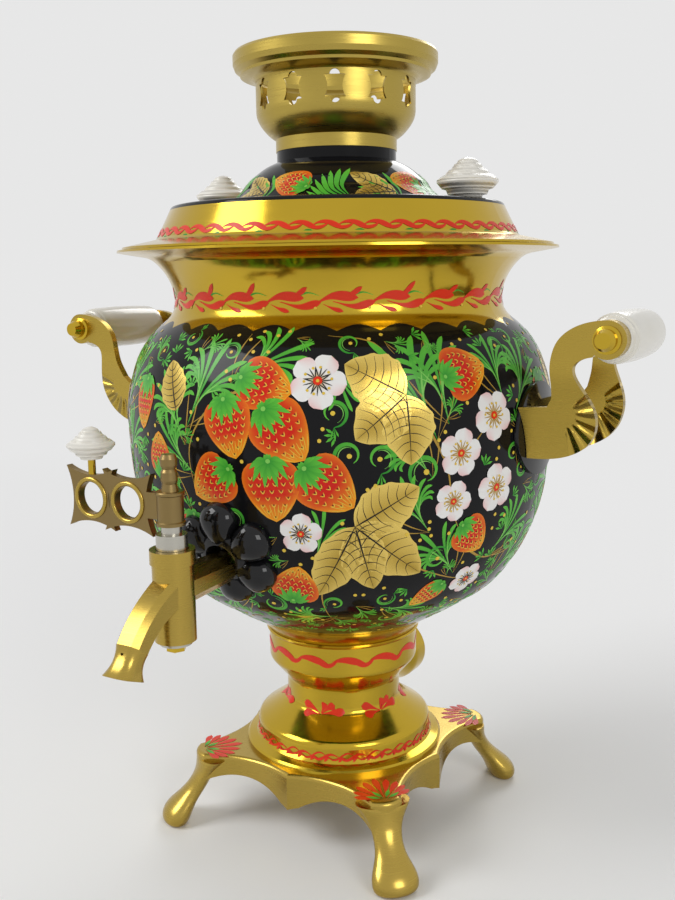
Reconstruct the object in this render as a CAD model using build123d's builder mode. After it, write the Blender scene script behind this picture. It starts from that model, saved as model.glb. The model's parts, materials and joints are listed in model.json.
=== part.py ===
from build123d import *
import os
from math import atan2, cos, degrees, pi, sin, sqrt

os.makedirs("parts", exist_ok=True)

# An electric samovar: a spun brass vessel on a turned pedestal and a cast four-legged base, with a
# plug tap, two handles, a lift-off lid and a pierced crown for the teapot.
# Millimetres. The origin lies on the floor under the vessel's axis, +Z is up, the tap looks
# towards -Y, the handles stand at +X and -X, and the mains inlet looks towards +Y.

# ---------------------------------------------------------------- driving dimensions
# Clearances and sheet
seat_gap = 0.3            # between curved sheets that lie on each other
running_gap = 0.05        # radial, tap plug in its barrel
hole_gap = 0.25           # radial, round a screw or stud
vessel_wall = 1.0
pedestal_wall = 1.0
lid_wall = 0.9
crown_wall = 1.0

# Base casting
base_height = 35.0        # floor to the top of its plate
base_plate_thickness = 3.0
base_skirt_wall = 2.6
base_cusp_r = 53.0        # axis to the cusp in the middle of each side
base_side_r = 48.8        # axis to the hollow on each side of that cusp
base_corner_r = 74.5      # axis to a corner, on the diagonal
base_corner_width = 19.0
base_cusp_drop = 20.0     # plate top to the point of the cusp
base_arch_drop = 9.5      # plate top to the crown of the skirt's arches
base_foot_r = 85.0        # axis to the middle of a foot's sole
base_wire_hole_r = 16.0
base_edge_round = 2.0

# Pedestal, heights from the base plate
pedestal_height = 57.0
pedestal_disc_r = 48.3
pedestal_disc_height = 2.6
pedestal_cone_r = 42.6
pedestal_cone_height = 24.0
pedestal_waist_r = 27.8
pedestal_waist_height = 8.0
pedestal_band_r = 36.2
pedestal_band_height = 14.0
pedestal_bend_r = 4.0     # outside radius of its bends
bead_r = 37.4
bead_height = 1.6

# Vessel, heights from its own bottom
vessel_foot_r = 36.5
vessel_belly_r = 99.1
vessel_neck_r = 75.8
vessel_brim_r = 100.8
vessel_belly_height = 105.4
vessel_shoulder_height = 54.0
vessel_brim_height = 20.0
heater_hole_r = 20.0

# Lid, heights from the brim
lid_flange_r = 98.4
lid_flange_rise = 4.2
lid_band_foot_r = 82.6
lid_band_top_r = 76.8
lid_band_height = 12.6
lid_flat_rise = 2.2
lid_dome_foot_r = 50.5
lid_dome_waist_r = 42.4
lid_dome_height = 19.4
lid_collar_r = 27.3
lid_collar_height = 4.6
lid_spigot_height = 4.4
lid_skirt_r = 77.0
lid_skirt_depth = 8.0     # below the brim
vent_r = 1.6
vent_count = 6
lid_lift = 60.0

# Crown, heights from the lid's collar
crown_neck_height = 5.5
crown_wall_r = 36.2
crown_shoulder_height = 12.5
crown_drum_height = 12.5
crown_lip_r = 46.2
crown_lip_height = 8.6
crown_height = 42.7
crown_hole_count = 12
crown_hole_width = 9.3
crown_hole_height = 13.6
crown_hole_z = 23.2

# Turned knobs of the lid and of the tap key
lid_knob_r = 13.2
lid_knob_height = 17.6
lid_knob_inset = 11.8     # top edge of the lid's band to the knob's axis
key_knob_r = 9.4
key_knob_height = 12.6

# Tap
tap_reach = 27.3          # belly to barrel axis
shank_z = 145.5
barrel_r = 8.05
barrel_flange_r = 8.75
barrel_flange_height = 5.5
barrel_top_z = 161.0
barrel_bottom_z = 125.0
plug_top_r = 5.4
plug_bottom_r = 4.6
plug_ring_r = 6.05
plug_ring_height = 8.0
plug_seat_depth = 2.4     # counterbore that the plug's ring stands in
plug_stem_r = 3.95
plug_stem_height = 3.4
plug_tail_r = 1.9
passage_r = 2.8
shank_outer = 15.0        # across the shank at the barrel
shank_inner = 12.0        # across the shank at the vessel
shank_thread_r = 5.0
shank_thread_reach = 20.0  # from the vessel's outer face inwards
outlet_r = 3.6
outlet_length = 9.0
water_way_lean = 24.0     # degrees from level, as the other leans
# The spout's middle line: its way out from the barrel's axis, its drop below the shank, its lean
spout_root_at = (4.0, 1.5, 12.0)
spout_elbow_at = (15.0, 7.0, 36.0)
spout_collar_at = (24.6, 16.5, 53.0)
spout_throat_at = (27.0, 21.0, 60.0)
spout_mouth_at = (30.0, 25.7, 67.0)
rosette_z = 150.0
rosette_r = 15.5          # to the middle of a petal
rosette_petal_r = 6.4
rosette_petal_count = 8
rosette_height = 3.2
petal_dome_r = 7.0
petal_dome_sink = 3.6     # petal's top plane to its dome's middle

# Tap key
key_sleeve_r = 5.6
key_sleeve_height = 13.0
key_finial_r = 3.3
key_finial_height = 14.0
key_plate_thickness = 3.0
key_ring_bore_r = 6.4
key_ring_outer_r = 9.3
key_ring_near = 20.0      # barrel axis to the inner ring's middle
key_ring_far = 39.0       # barrel axis to the outer ring's middle
key_point_reach = 12.2    # ring middle to the corner points, along each side
key_plate_z = 177.0
key_post_r = 1.5
key_post_height = 3.2

# Handles
grip_reach = 36.9         # belly to grip's middle line
grip_z = 236.5
grip_length = 50.0
grip_r = 10.6
grip_end_r = 8.0
rod_r = 2.5
arm_thickness = 3.2
arm_boss_r = 7.5
arm_boss_length = 5.6
arm_root_spread = 14.0    # handle's middle to an arm's root, along Y
arm_root_z = 196.5
arm_root_height = 22.0
dome_nut_r = 4.3
dome_nut_length = 6.4
handle_plate_height = 40.0
handle_plate_width = 46.0
handle_plate_thickness = 1.8
handle_stud_r = 2.0
handle_stud_reach = 7.0   # inside the vessel

# Heater, clamp and mains inlet
heater_tube_r = 3.6
heater_span = 30.0        # middle to the loop's sides
heater_rise = 20.0        # above the vessel's bottom
heater_bend_r = 9.0
heater_pin_r = 1.5
heater_flange_r = 28.0
heater_flange_thickness = 3.0
gasket_thickness = 2.0
clamp_stud_r = 3.0
clamp_nut_height = 4.0
inlet_z = 60.0
inlet_reach = 62.5        # axis to the shroud's mouth
inlet_mouth_r = 15.6
inlet_root_r = 12.0
inlet_wall = 1.2
inlet_depth = 17.0
inlet_block_thickness = 8.0
inlet_pin_r = 2.5
inlet_pin_tail_r = 1.9
inlet_pin_spacing = 15.0
inlet_pin_length = 13.0
lead_r = 1.5

# ---------------------------------------------------------------- places worked out from them
tap_axis_r = vessel_belly_r + tap_reach
grip_axis_r = vessel_belly_r + grip_reach
base_top_z = base_height
pedestal_top_z = base_top_z + pedestal_height
vessel_z = pedestal_top_z + bead_height
belly_z = vessel_z + vessel_belly_height
neck_z = belly_z + vessel_shoulder_height
brim_z = neck_z + vessel_brim_height
brim_top_z = brim_z + vessel_wall
lid_z = brim_top_z + seat_gap
lid_flat_z = lid_z + lid_flange_rise + lid_band_height + lid_flat_rise
lid_knob_offset = lid_band_top_r - lid_knob_inset
collar_z = lid_flat_z + lid_dome_height
crown_z = collar_z + lid_collar_height
crown_top_z = crown_z + crown_height
plug_ring_z = barrel_top_z - plug_seat_depth + seat_gap
key_sleeve_z = plug_ring_z + plug_ring_height + plug_stem_height


def between(low, high, share):
    """The value that lies the given share of the way from low to high."""
    return low + (high - low) * share


def inset(curve, wall, count):
    """Points one wall inside a curve that runs up the outside of a turned piece."""
    points = []
    for step in range(count + 1):
        along = curve % (step / count)
        points.append(curve @ (step / count) + Vector(-along.Y, along.X) * wall)
    return points


# ---------------------------------------------------------------- the vessel's outline
# Where its arcs meet, as shares of the way from foot to belly, belly to neck and neck to brim:
# (radius, height).
LOWER_BELLY = [(0.139, 0.079), (0.54, 0.232), (0.695, 0.32), (0.955, 0.68)]
SHOULDER = [(0.219, 0.48), (0.80, 0.80)]
BRIM = [(0.34, 0.79), (0.53, 0.90)]


def by_shares(low, high, shares):
    """Points placed by their shares of the way between two points (radius, height)."""
    return [(between(low[0], high[0], r), between(low[1], high[1], h)) for r, h in shares]


foot = (vessel_foot_r, vessel_z)
belly = (vessel_belly_r, belly_z)
neck = (vessel_neck_r, neck_z)
brim = (vessel_brim_r, brim_z)
low_bend, low_side, low_turn, high_side = by_shares(foot, belly, LOWER_BELLY)
shoulder_side, shoulder_foot = by_shares(belly, neck, SHOULDER)
brim_side, brim_turn = by_shares(neck, brim, BRIM)
with BuildLine() as vessel_outline:
    lower_side = TangentArc(belly, high_side, tangent=(0, -1))
    lower_turn = TangentArc(high_side, low_turn, tangent=lower_side % 1)
    cone = TangentArc(low_turn, low_side, tangent=lower_turn % 1)
    foot_side = TangentArc(low_side, low_bend, tangent=cone % 1)
    TangentArc(low_bend, foot, tangent=foot_side % 1)
    upper_side = TangentArc(belly, shoulder_side, tangent=(0, 1))
    shoulder_turn = TangentArc(shoulder_side, shoulder_foot, tangent=upper_side % 1)
    throat = TangentArc(shoulder_foot, neck, tangent=shoulder_turn % 1)
    brim_rise = TangentArc(neck, brim_side, tangent=throat % 1)
    brim_bend = TangentArc(brim_side, brim_turn, tangent=brim_rise % 1)
    TangentArc(brim_turn, brim, tangent=brim_bend % 1)


def vessel_radius(z):
    """Outer radius of the vessel at a height."""
    level = Edge.make_line((0, z), (2 * vessel_belly_r, z))
    return max(
        (edge @ edge.param_at_point(point)).X
        for edge in vessel_outline.edges()
        for point in edge.find_intersection_points(level)
    )


def moved_out(outline, growth):
    """A turned piece's smooth outline, moved away from the axis or, below zero, towards it."""
    with BuildLine() as moved:
        for edge in outline.edges():
            rise = 1 if (edge @ 1).Y > (edge @ 0).Y else -1
            start, middle, end = [
                edge @ share + Vector((edge % share).Y, -(edge % share).X) * growth * rise
                for share in (0, 0.5, 1)
            ]
            if edge.geom_type == GeomType.LINE:
                Line(start, end)
            else:
                ThreePointArc(start, middle, end)
    return moved.wire()


def vessel_envelope(growth):
    """The filled vessel, its outer face moved out by growth, for cutting what lies on it."""
    with BuildPart() as envelope:
        with BuildSketch(Plane.XZ):
            with BuildLine():
                side = moved_out(vessel_outline, growth)
                add(side)
                Polyline(side @ 1, (0, (side @ 1).Y), (0, (side @ 0).Y), side @ 0)
            make_face()
        revolve(axis=Axis.Z)
    return envelope.part


vessel_outside = vessel_envelope(seat_gap)
vessel_inside = vessel_envelope(-vessel_wall - seat_gap)

# ---------------------------------------------------------------- base casting
plate_low_z = base_top_z - base_plate_thickness
cusp_z = base_top_z - base_cusp_drop
arch_z = base_top_z - base_arch_drop
corner_side = base_corner_r / sqrt(2) - base_corner_width / 2 / sqrt(2)
corner_out = base_corner_r / sqrt(2) + base_corner_width / 4 / sqrt(2)
corner_tip = base_corner_r / sqrt(2)


def turned(point, quarter):
    """A point turned about the vessel's axis by some quarter turns."""
    return Vector(*point).rotate(Axis.Z, 90 * quarter)


with BuildPart() as base:
    # Outline: four hollow sides, each with a cusp in its middle, between rounded corners.
    with BuildSketch(Plane.XY.offset(cusp_z)) as base_outline:
        with BuildLine():
            for quarter in range(4):
                ThreePointArc(
                    turned((0, -base_cusp_r), quarter),
                    turned((corner_side / 2, -base_side_r), quarter),
                    turned((corner_side, -corner_out), quarter),
                )
                ThreePointArc(
                    turned((corner_side, -corner_out), quarter),
                    turned((corner_tip, -corner_tip), quarter),
                    turned((corner_out, -corner_side), quarter),
                )
                ThreePointArc(
                    turned((corner_out, -corner_side), quarter),
                    turned((base_side_r, -corner_side / 2), quarter),
                    turned((base_cusp_r, 0), quarter),
                )
        make_face()
    extrude(amount=base_cusp_drop)
    # Hollow underside.
    with BuildSketch(Plane.XY.offset(cusp_z)):
        add(base_outline.sketch.face().moved(Location((0, 0, -cusp_z))))
        offset(amount=-base_skirt_wall)
    extrude(amount=base_cusp_drop - base_plate_thickness, mode=Mode.SUBTRACT)
    # Two arches under each side, from the cusp to the legs.
    for arch_plane in (Plane.XZ, Plane.YZ):
        with BuildSketch(arch_plane):
            for side in (1, -1):
                with BuildLine():
                    ThreePointArc(
                        (0, cusp_z), (side * corner_side / 2, arch_z), (side * corner_out, cusp_z)
                    )
                    Polyline(
                        (side * corner_out, cusp_z),
                        (side * corner_out, -1),
                        (0, -1),
                        (0, cusp_z),
                    )
                make_face()
        extrude(amount=base_corner_r, both=True, mode=Mode.SUBTRACT)
    fillet(base.edges().group_by(Axis.Z)[-1], radius=base_edge_round)
    with Locations((0, 0, base_top_z)):
        Hole(radius=base_wire_hole_r, depth=base_height)

# A cabriole leg as level slices: height, radius of its middle, and half its size out and across.
# Its slices below the plate share out the height between the plate and the floor.
LEG_SLICES = [
    (0.0, 0.0, 4.5, 8.0),
    (0.09, 0.4, 6.9, 10.3),
    (0.21, -1.2, 7.0, 10.0),
    (0.33, -4.2, 6.2, 8.2),
    (0.48, -8.7, 5.2, 6.6),
    (0.66, -12.8, 4.6, 7.0),
    (0.84, -15.8, 5.6, 9.6),
    (0.97, -18.6, 7.6, 12.4),
]
with BuildPart() as leg:
    for share, shift, half_out, half_across in LEG_SLICES:
        slice_place = Plane(origin=(base_foot_r + shift, 0, share * plate_low_z + share * share))
        with BuildSketch(slice_place):
            Ellipse(half_out, half_across)
    loft()

with BuildPart() as base_with_legs:
    add(base.part)
    with PolarLocations(0, 4, start_angle=45):
        add(leg.part)
base = base_with_legs
base.part.label = "base"
export_step(base.part, "parts/base.step")

# ---------------------------------------------------------------- pedestal
disc_top_z = base_top_z + pedestal_disc_height
cone_top_z = base_top_z + pedestal_cone_height
waist_top_z = cone_top_z + pedestal_waist_height
band_low_z = pedestal_top_z - pedestal_band_height
ledge_r = pedestal_cone_r + 1.2
# Its side: over the cone's shoulder, in to the waist and out to the band.
with BuildLine() as pedestal_outline:
    FilletPolyline(
        (pedestal_cone_r, disc_top_z + 2.8),
        (pedestal_cone_r, between(disc_top_z, cone_top_z, 0.45)),
        (pedestal_waist_r, between(disc_top_z, cone_top_z, 0.9)),
        (pedestal_waist_r, waist_top_z + 1),
        (pedestal_band_r, band_low_z),
        (pedestal_band_r, pedestal_top_z - pedestal_wall),
        radius=pedestal_bend_r,
    )
with BuildPart() as pedestal:
    with BuildSketch(Plane.XZ):
        with BuildLine():
            Polyline(
                (pedestal_disc_r - pedestal_wall, base_top_z),
                (pedestal_disc_r, base_top_z),
                (pedestal_disc_r, disc_top_z - 0.8),
                (pedestal_disc_r - 0.9, disc_top_z),
                (ledge_r, disc_top_z + 1.2),
                (pedestal_cone_r, disc_top_z + 2.8),
            )
            add(pedestal_outline.edges())
            Polyline(
                (pedestal_band_r, pedestal_top_z - pedestal_wall),
                (pedestal_band_r, pedestal_top_z),
                (heater_flange_r + seat_gap, pedestal_top_z),
                (heater_flange_r + seat_gap, pedestal_top_z - pedestal_wall),
                (pedestal_band_r - pedestal_wall, pedestal_top_z - pedestal_wall),
            )
            add(moved_out(pedestal_outline, -pedestal_wall))
            Polyline(
                (pedestal_cone_r - pedestal_wall, disc_top_z + 2.8),
                (ledge_r - pedestal_wall, disc_top_z + 0.3),
                (pedestal_disc_r - pedestal_wall, disc_top_z - 0.9),
                (pedestal_disc_r - pedestal_wall, base_top_z),
            )
        make_face()
    revolve(axis=Axis.Z)
    # Opening for the inlet's leads.
    with Locations(Plane(origin=(0, 0, inlet_z), z_dir=(0, 1, 0))):
        Cylinder(
            radius=inlet_root_r - inlet_wall,
            height=pedestal_disc_r,
            align=(Align.CENTER, Align.CENTER, Align.MIN),
            mode=Mode.SUBTRACT,
        )
pedestal.part.label = "pedestal"
export_step(pedestal.part, "parts/pedestal.step")

with BuildPart() as bead_ring:
    with BuildSketch(Plane.XZ):
        with BuildLine():
            bead_edge = Line((bead_r - 0.6, pedestal_top_z), (bead_r, pedestal_top_z + bead_height / 2))
            Polyline(
                bead_edge @ 1,
                (bead_r - 0.6, vessel_z),
                (heater_flange_r + 1, vessel_z),
                (heater_flange_r + 1, pedestal_top_z),
                bead_edge @ 0,
            )
        make_face()
    revolve(axis=Axis.Z)
bead_ring.part.label = "bead_ring"
export_step(bead_ring.part, "parts/bead_ring.step")

# ---------------------------------------------------------------- vessel
vessel_inner_outline = moved_out(vessel_outline, -vessel_wall)
inner_foot, inner_brim = sorted((vessel_inner_outline @ end for end in (0, 1)), key=lambda end: end.Y)
floor_top_z = inner_foot.Y
shank_hole_r = shank_thread_r + hole_gap
stud_hole_r = handle_stud_r + hole_gap
with BuildPart() as body_shell:
    with BuildSketch(Plane.XZ):
        with BuildLine():
            add(vessel_outline.edges())
            add(vessel_inner_outline)
            Line(brim, inner_brim)
            Polyline(
                inner_foot,
                (heater_hole_r, floor_top_z),
                (heater_hole_r, vessel_z),
                foot,
            )
        make_face()
    revolve(axis=Axis.Z)
    # Tap hole.
    with Locations(Plane(origin=(0, 0, shank_z), z_dir=(0, -1, 0))):
        Cylinder(
            radius=shank_hole_r,
            height=vessel_belly_r,
            align=(Align.CENTER, Align.CENTER, Align.MIN),
            mode=Mode.SUBTRACT,
        )
    # Holes for the screws of the handles' arms, right across the vessel.
    for along in (-1, 1):
        with Locations(Plane(origin=(0, along * arm_root_spread, arm_root_z), z_dir=(1, 0, 0))):
            Cylinder(radius=stud_hole_r, height=2 * vessel_belly_r + 10, mode=Mode.SUBTRACT)
    with PolarLocations(between(heater_hole_r, heater_flange_r, 0.5), 4, start_angle=45):
        Cylinder(radius=stud_hole_r, height=vessel_z * 2 + 10, mode=Mode.SUBTRACT)
body_shell.part.label = "body_shell"
export_step(body_shell.part, "parts/body_shell.step")

# ---------------------------------------------------------------- lid
band_foot_z = lid_z + lid_flange_rise
band_top_z = band_foot_z + lid_band_height
band_slope = (lid_band_foot_r - lid_band_top_r) / lid_band_height
spigot_r = lid_collar_r - crown_wall - seat_gap
spigot_top_z = crown_z + lid_spigot_height
lid_flat_r = lid_band_top_r - lid_flat_rise
with BuildPart() as lid:
    with BuildSketch(Plane.XZ):
        with BuildLine():
            cove = Spline(
                (lid_dome_foot_r, lid_flat_z),
                (between(lid_dome_foot_r, lid_dome_waist_r, 0.55), between(lid_flat_z, collar_z, 0.22)),
                (lid_dome_waist_r, between(lid_flat_z, collar_z, 0.38)),
                tangents=[(-0.5, 1), (-1, 0.5)],
            )
            dome = Spline(
                (lid_dome_waist_r, between(lid_flat_z, collar_z, 0.38)),
                (between(lid_dome_waist_r, lid_collar_r, 0.26), between(lid_flat_z, collar_z, 0.65)),
                (between(lid_dome_waist_r, lid_collar_r, 0.62), between(lid_flat_z, collar_z, 0.86)),
                (lid_collar_r, collar_z),
                tangents=[(-0.2, 1), (-1, 0.45)],
            )
            round_over = Spline(
                (lid_band_top_r, band_top_z),
                (lid_band_top_r - 0.8, band_top_z + lid_flat_rise * 0.7),
                (lid_flat_r - 1, lid_flat_z),
                tangents=[(-band_slope, 1), (-1, 0)],
            )
            Polyline(
                (lid_flange_r, lid_z),
                (lid_flange_r, lid_z + lid_wall),
                (lid_band_foot_r + 1, band_foot_z),
                (lid_band_foot_r, band_foot_z + 1),
                (lid_band_top_r, band_top_z),
            )
            Line(round_over @ 1, cove @ 0)
            Polyline(
                dome @ 1,
                (lid_collar_r, crown_z),
                (spigot_r, crown_z),
                (spigot_r, spigot_top_z),
                (0, spigot_top_z),
                (0, spigot_top_z - lid_wall),
                (spigot_r - lid_wall, spigot_top_z - lid_wall),
                (spigot_r - lid_wall, collar_z),
            )
            inner_dome = Spline(*reversed(inset(dome, lid_wall, 6)[:-1]))
            Line((spigot_r - lid_wall, collar_z), inner_dome @ 0)
            inner_cove = Spline(*reversed(inset(cove, lid_wall, 4)[:-1]))
            Line(inner_dome @ 1, inner_cove @ 0)
            Polyline(
                inner_cove @ 1,
                (lid_dome_foot_r - lid_wall, lid_flat_z - lid_wall),
                (lid_flat_r - 1, lid_flat_z - lid_wall),
                (lid_band_top_r - lid_wall, band_top_z),
                (lid_band_foot_r - lid_wall, band_foot_z + 0.4),
                (lid_band_foot_r, band_foot_z - lid_wall),
                (lid_flange_r, lid_z),
            )
        make_face()
    revolve(axis=Axis.Z)
    # Steam vents inside the crown, and the holes of the knobs' screws.
    with PolarLocations(spigot_r / 2, vent_count):
        Cylinder(
            radius=vent_r,
            height=spigot_top_z + 1,
            align=(Align.CENTER, Align.CENTER, Align.MIN),
            mode=Mode.SUBTRACT,
        )
    with Locations((lid_knob_offset, 0), (-lid_knob_offset, 0)):
        Cylinder(
            radius=handle_stud_r + hole_gap,
            height=spigot_top_z,
            align=(Align.CENTER, Align.CENTER, Align.MIN),
            mode=Mode.SUBTRACT,
        )
lid.part.label = "lid"
export_step(lid.part, "parts/lid.step")

# The skirt that centres the lid in the vessel's mouth, its top edge turned out under the band.
skirt_low_z = brim_top_z - lid_skirt_depth
skirt_top_z = band_foot_z + lid_band_height / 3
skirt_lip_r = between(lid_band_foot_r, lid_band_top_r, 1 / 3) - lid_wall - seat_gap
with BuildPart() as lid_skirt:
    with BuildSketch(Plane.XZ):
        with BuildLine():
            Polyline(
                (lid_skirt_r, skirt_low_z),
                (lid_skirt_r, skirt_top_z - lid_wall),
                (skirt_lip_r, skirt_top_z - lid_wall),
                (skirt_lip_r, skirt_top_z),
                (lid_skirt_r - lid_wall, skirt_top_z),
                (lid_skirt_r - lid_wall, skirt_low_z),
                close=True,
            )
        make_face()
    revolve(axis=Axis.Z)
lid_skirt.part.label = "lid_skirt"
export_step(lid_skirt.part, "parts/lid_skirt.step")

# ---------------------------------------------------------------- crown
crown_neck_r = lid_collar_r + seat_gap
shoulder_z = crown_z + crown_neck_height
drum_z = shoulder_z + crown_shoulder_height
lip_z = drum_z + crown_drum_height
lip_step_r = between(crown_wall_r, crown_lip_r, 0.68)
rim_flat = 2.4
lobe = crown_hole_width * 0.23
lobe_z = crown_hole_height * 0.345
point_x = crown_hole_width / 2
point_z = crown_hole_height * 0.33
with BuildSketch() as star:
    # One cut-out: round lobes above and below, four sharp points, hollow sides.
    with BuildLine():
        for end in (1, -1):
            ThreePointArc(
                (-lobe, end * lobe_z), (0, end * crown_hole_height / 2), (lobe, end * lobe_z)
            )
        for side in (1, -1):
            Line((side * lobe, lobe_z), (side * point_x, point_z))
            ThreePointArc(
                (side * point_x, point_z), (side * point_x * 0.68, 0), (side * point_x, -point_z)
            )
            Line((side * point_x, -point_z), (side * lobe, -lobe_z))
    make_face()
with BuildPart() as crown_star:
    with BuildSketch(Plane.XZ.offset(crown_wall_r / 2)):
        with Locations((0, crown_z + crown_hole_z)):
            add(star.sketch)
    extrude(amount=crown_wall_r)

with BuildPart() as crown:
    with BuildSketch(Plane.XZ):
        with BuildLine():
            shoulder = Spline(
                (crown_neck_r, shoulder_z),
                (between(crown_neck_r, crown_wall_r, 0.64), between(shoulder_z, drum_z, 0.38)),
                (crown_wall_r, drum_z),
                tangents=[(1, 0.5), (0, 1)],
            )
            Line((crown_wall_r, drum_z), (crown_wall_r, lip_z))
            lip = Spline(
                (crown_wall_r, lip_z),
                (between(crown_wall_r, lip_step_r, 0.5), lip_z + 1.6),
                (lip_step_r, lip_z + 2.4),
                tangents=[(0.6, 1), (1, 0.3)],
            )
            Polyline(
                lip @ 1,
                (lip_step_r + 0.3, lip_z + 3.6),
                (crown_lip_r - 0.9, lip_z + 5.0),
                (crown_lip_r, lip_z + 7.2),
                (crown_lip_r, crown_top_z - 1.2),
                (crown_lip_r - 0.8, crown_top_z),
                (crown_lip_r - rim_flat, crown_top_z),
                (crown_lip_r - rim_flat, crown_top_z - 1.6),
                (crown_lip_r - rim_flat - 0.2, lip_z + 6.4),
                (lip_step_r - 0.6, lip_z + 4.2),
            )
            inner_lip = Spline(
                (lip_step_r - 0.6, lip_z + 4.2),
                (between(crown_wall_r, lip_step_r, 0.4), lip_z + 2.8),
                (crown_wall_r - crown_wall, lip_z + 0.6),
            )
            Polyline(
                inner_lip @ 1,
                (crown_wall_r - crown_wall, drum_z),
            )
            inner_shoulder = Spline(*reversed(inset(shoulder, crown_wall, 5)))
            Polyline(
                inner_shoulder @ 1,
                (crown_neck_r - crown_wall, shoulder_z),
                (crown_neck_r - crown_wall, crown_z),
                (crown_neck_r, crown_z),
                (crown_neck_r, shoulder_z),
            )
        make_face()
    revolve(axis=Axis.Z)
    with PolarLocations(0, crown_hole_count):
        add(crown_star.part, mode=Mode.SUBTRACT)
crown.part.label = "crown"
export_step(crown.part, "parts/crown.step")

# ---------------------------------------------------------------- turned knobs
# Shares of the radius and of the height, from the foot up to the crown of the knob.
BEEHIVE = [
    (0.46, 0.0), (0.50, 0.1), (0.64, 0.12), (0.70, 0.23), (0.84, 0.26), (1.0, 0.40), (1.0, 0.46),
    (0.82, 0.57), (0.75, 0.57), (0.62, 0.70), (0.55, 0.70), (0.43, 0.84), (0.37, 0.84),
]
screw_r = handle_stud_r
screw_head_r = 3.6
screw_head_height = 2.0


def beehive_knob(place, radius, height, bore_r, bore_depth):
    """A turned knob with ringed cones above and below its rim, bored from its foot."""
    with BuildPart() as knob:
        with BuildSketch(Plane.XZ):
            with BuildLine():
                rings = Polyline(*[(radius * r, height * z) for r, z in BEEHIVE])
                Spline(
                    rings @ 1,
                    (radius * 0.22, height * 0.96),
                    (0, height),
                    tangents=[(-0.2, 1), (-1, 0)],
                )
                Polyline((0, height), (0, 0), rings @ 0)
            make_face()
        revolve(axis=Axis.Z)
        Cylinder(
            radius=bore_r,
            height=bore_depth,
            align=(Align.CENTER, Align.CENTER, Align.MIN),
            mode=Mode.SUBTRACT,
        )
    return knob.part.moved(Location(place))


knob_screw_reach = 9.0
for side, direction in (("left", -1), ("right", 1)):
    with BuildPart() as lid_knob:
        add(
            beehive_knob(
                (direction * lid_knob_offset, 0, lid_flat_z),
                lid_knob_r,
                lid_knob_height,
                screw_r + hole_gap,
                knob_screw_reach + 1,
            )
        )
    lid_knob.part.label = f"lid_knob_{side}"
    export_step(lid_knob.part, f"parts/lid_knob_{side}.step")

with BuildPart() as lid_knob_screws:
    with Locations(
        (lid_knob_offset, 0, lid_flat_z - lid_wall), (-lid_knob_offset, 0, lid_flat_z - lid_wall)
    ):
        Cylinder(
            radius=screw_head_r,
            height=screw_head_height,
            align=(Align.CENTER, Align.CENTER, Align.MAX),
        )
        Cylinder(
            radius=screw_r,
            height=lid_wall + knob_screw_reach,
            align=(Align.CENTER, Align.CENTER, Align.MIN),
        )
lid_knob_screws.part.label = "lid_knob_screws"
export_step(lid_knob_screws.part, "parts/lid_knob_screws.step")

# ---------------------------------------------------------------- tap: body
shank_end_y = -(vessel_radius(shank_z + shank_inner / 2) + seat_gap)
thread_end_y = -(vessel_radius(shank_z) - shank_thread_reach)


def on_spout(station):
    """Where one station of the spout's middle line lies, as (y, z)."""
    out, drop, _ = station
    return (-tap_axis_r - out, shank_z - drop)


def across_spout(place, lean):
    """A plane across the spout: place is (y, z), lean its slope from level in degrees."""
    slope = lean * pi / 180
    return Plane(origin=(0, *place), x_dir=(1, 0, 0), z_dir=(0, -cos(slope), -sin(slope)))


mouth_plane = across_spout(on_spout(spout_mouth_at), spout_mouth_at[2])
with BuildPart() as spout:
    # The arm: flat-faced, with bevelled corners.
    for station, width, height in (
        (spout_root_at, 12.6, 13.0),
        (spout_elbow_at, 11.6, 11.0),
        (spout_collar_at, 11.0, 10.0),
    ):
        with BuildSketch(across_spout(on_spout(station), station[2])) as arm_slice:
            Rectangle(width, height)
            chamfer(arm_slice.vertices(), length=2.2)
    loft()
with BuildPart() as beak:
    for station, width, height in (
        (spout_collar_at, 11.6, 10.6),
        (spout_throat_at, 10.4, 9.8),
        (spout_mouth_at, 12.6, 14.6),
    ):
        with BuildSketch(across_spout(on_spout(station), station[2])):
            RectangleRounded(width, height, radius=width * 0.36)
    loft()


def tapered_shank(growth):
    """The eight-sided shank between barrel and vessel, each face moved out by growth."""
    with BuildPart() as shank:
        for y, across in ((-tap_axis_r, shank_outer), (shank_end_y, shank_inner)):
            with BuildSketch(Plane(origin=(0, y, shank_z), x_dir=(1, 0, 0), z_dir=(0, 1, 0))):
                RegularPolygon(
                    radius=across / 2 + growth, side_count=8, major_radius=False, rotation=22.5
                )
        loft()
    return shank.part


with BuildPart() as water_way:
    with BuildLine(Plane.YZ):
        FilletPolyline(
            (-tap_axis_r, shank_z - 1.0),
            on_spout(spout_elbow_at),
            on_spout(spout_collar_at),
            on_spout(spout_mouth_at),
            radius=6,
        )
    with BuildSketch(across_spout((-tap_axis_r, shank_z - 1.0), water_way_lean)):
        Circle(passage_r)
    sweep()

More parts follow.
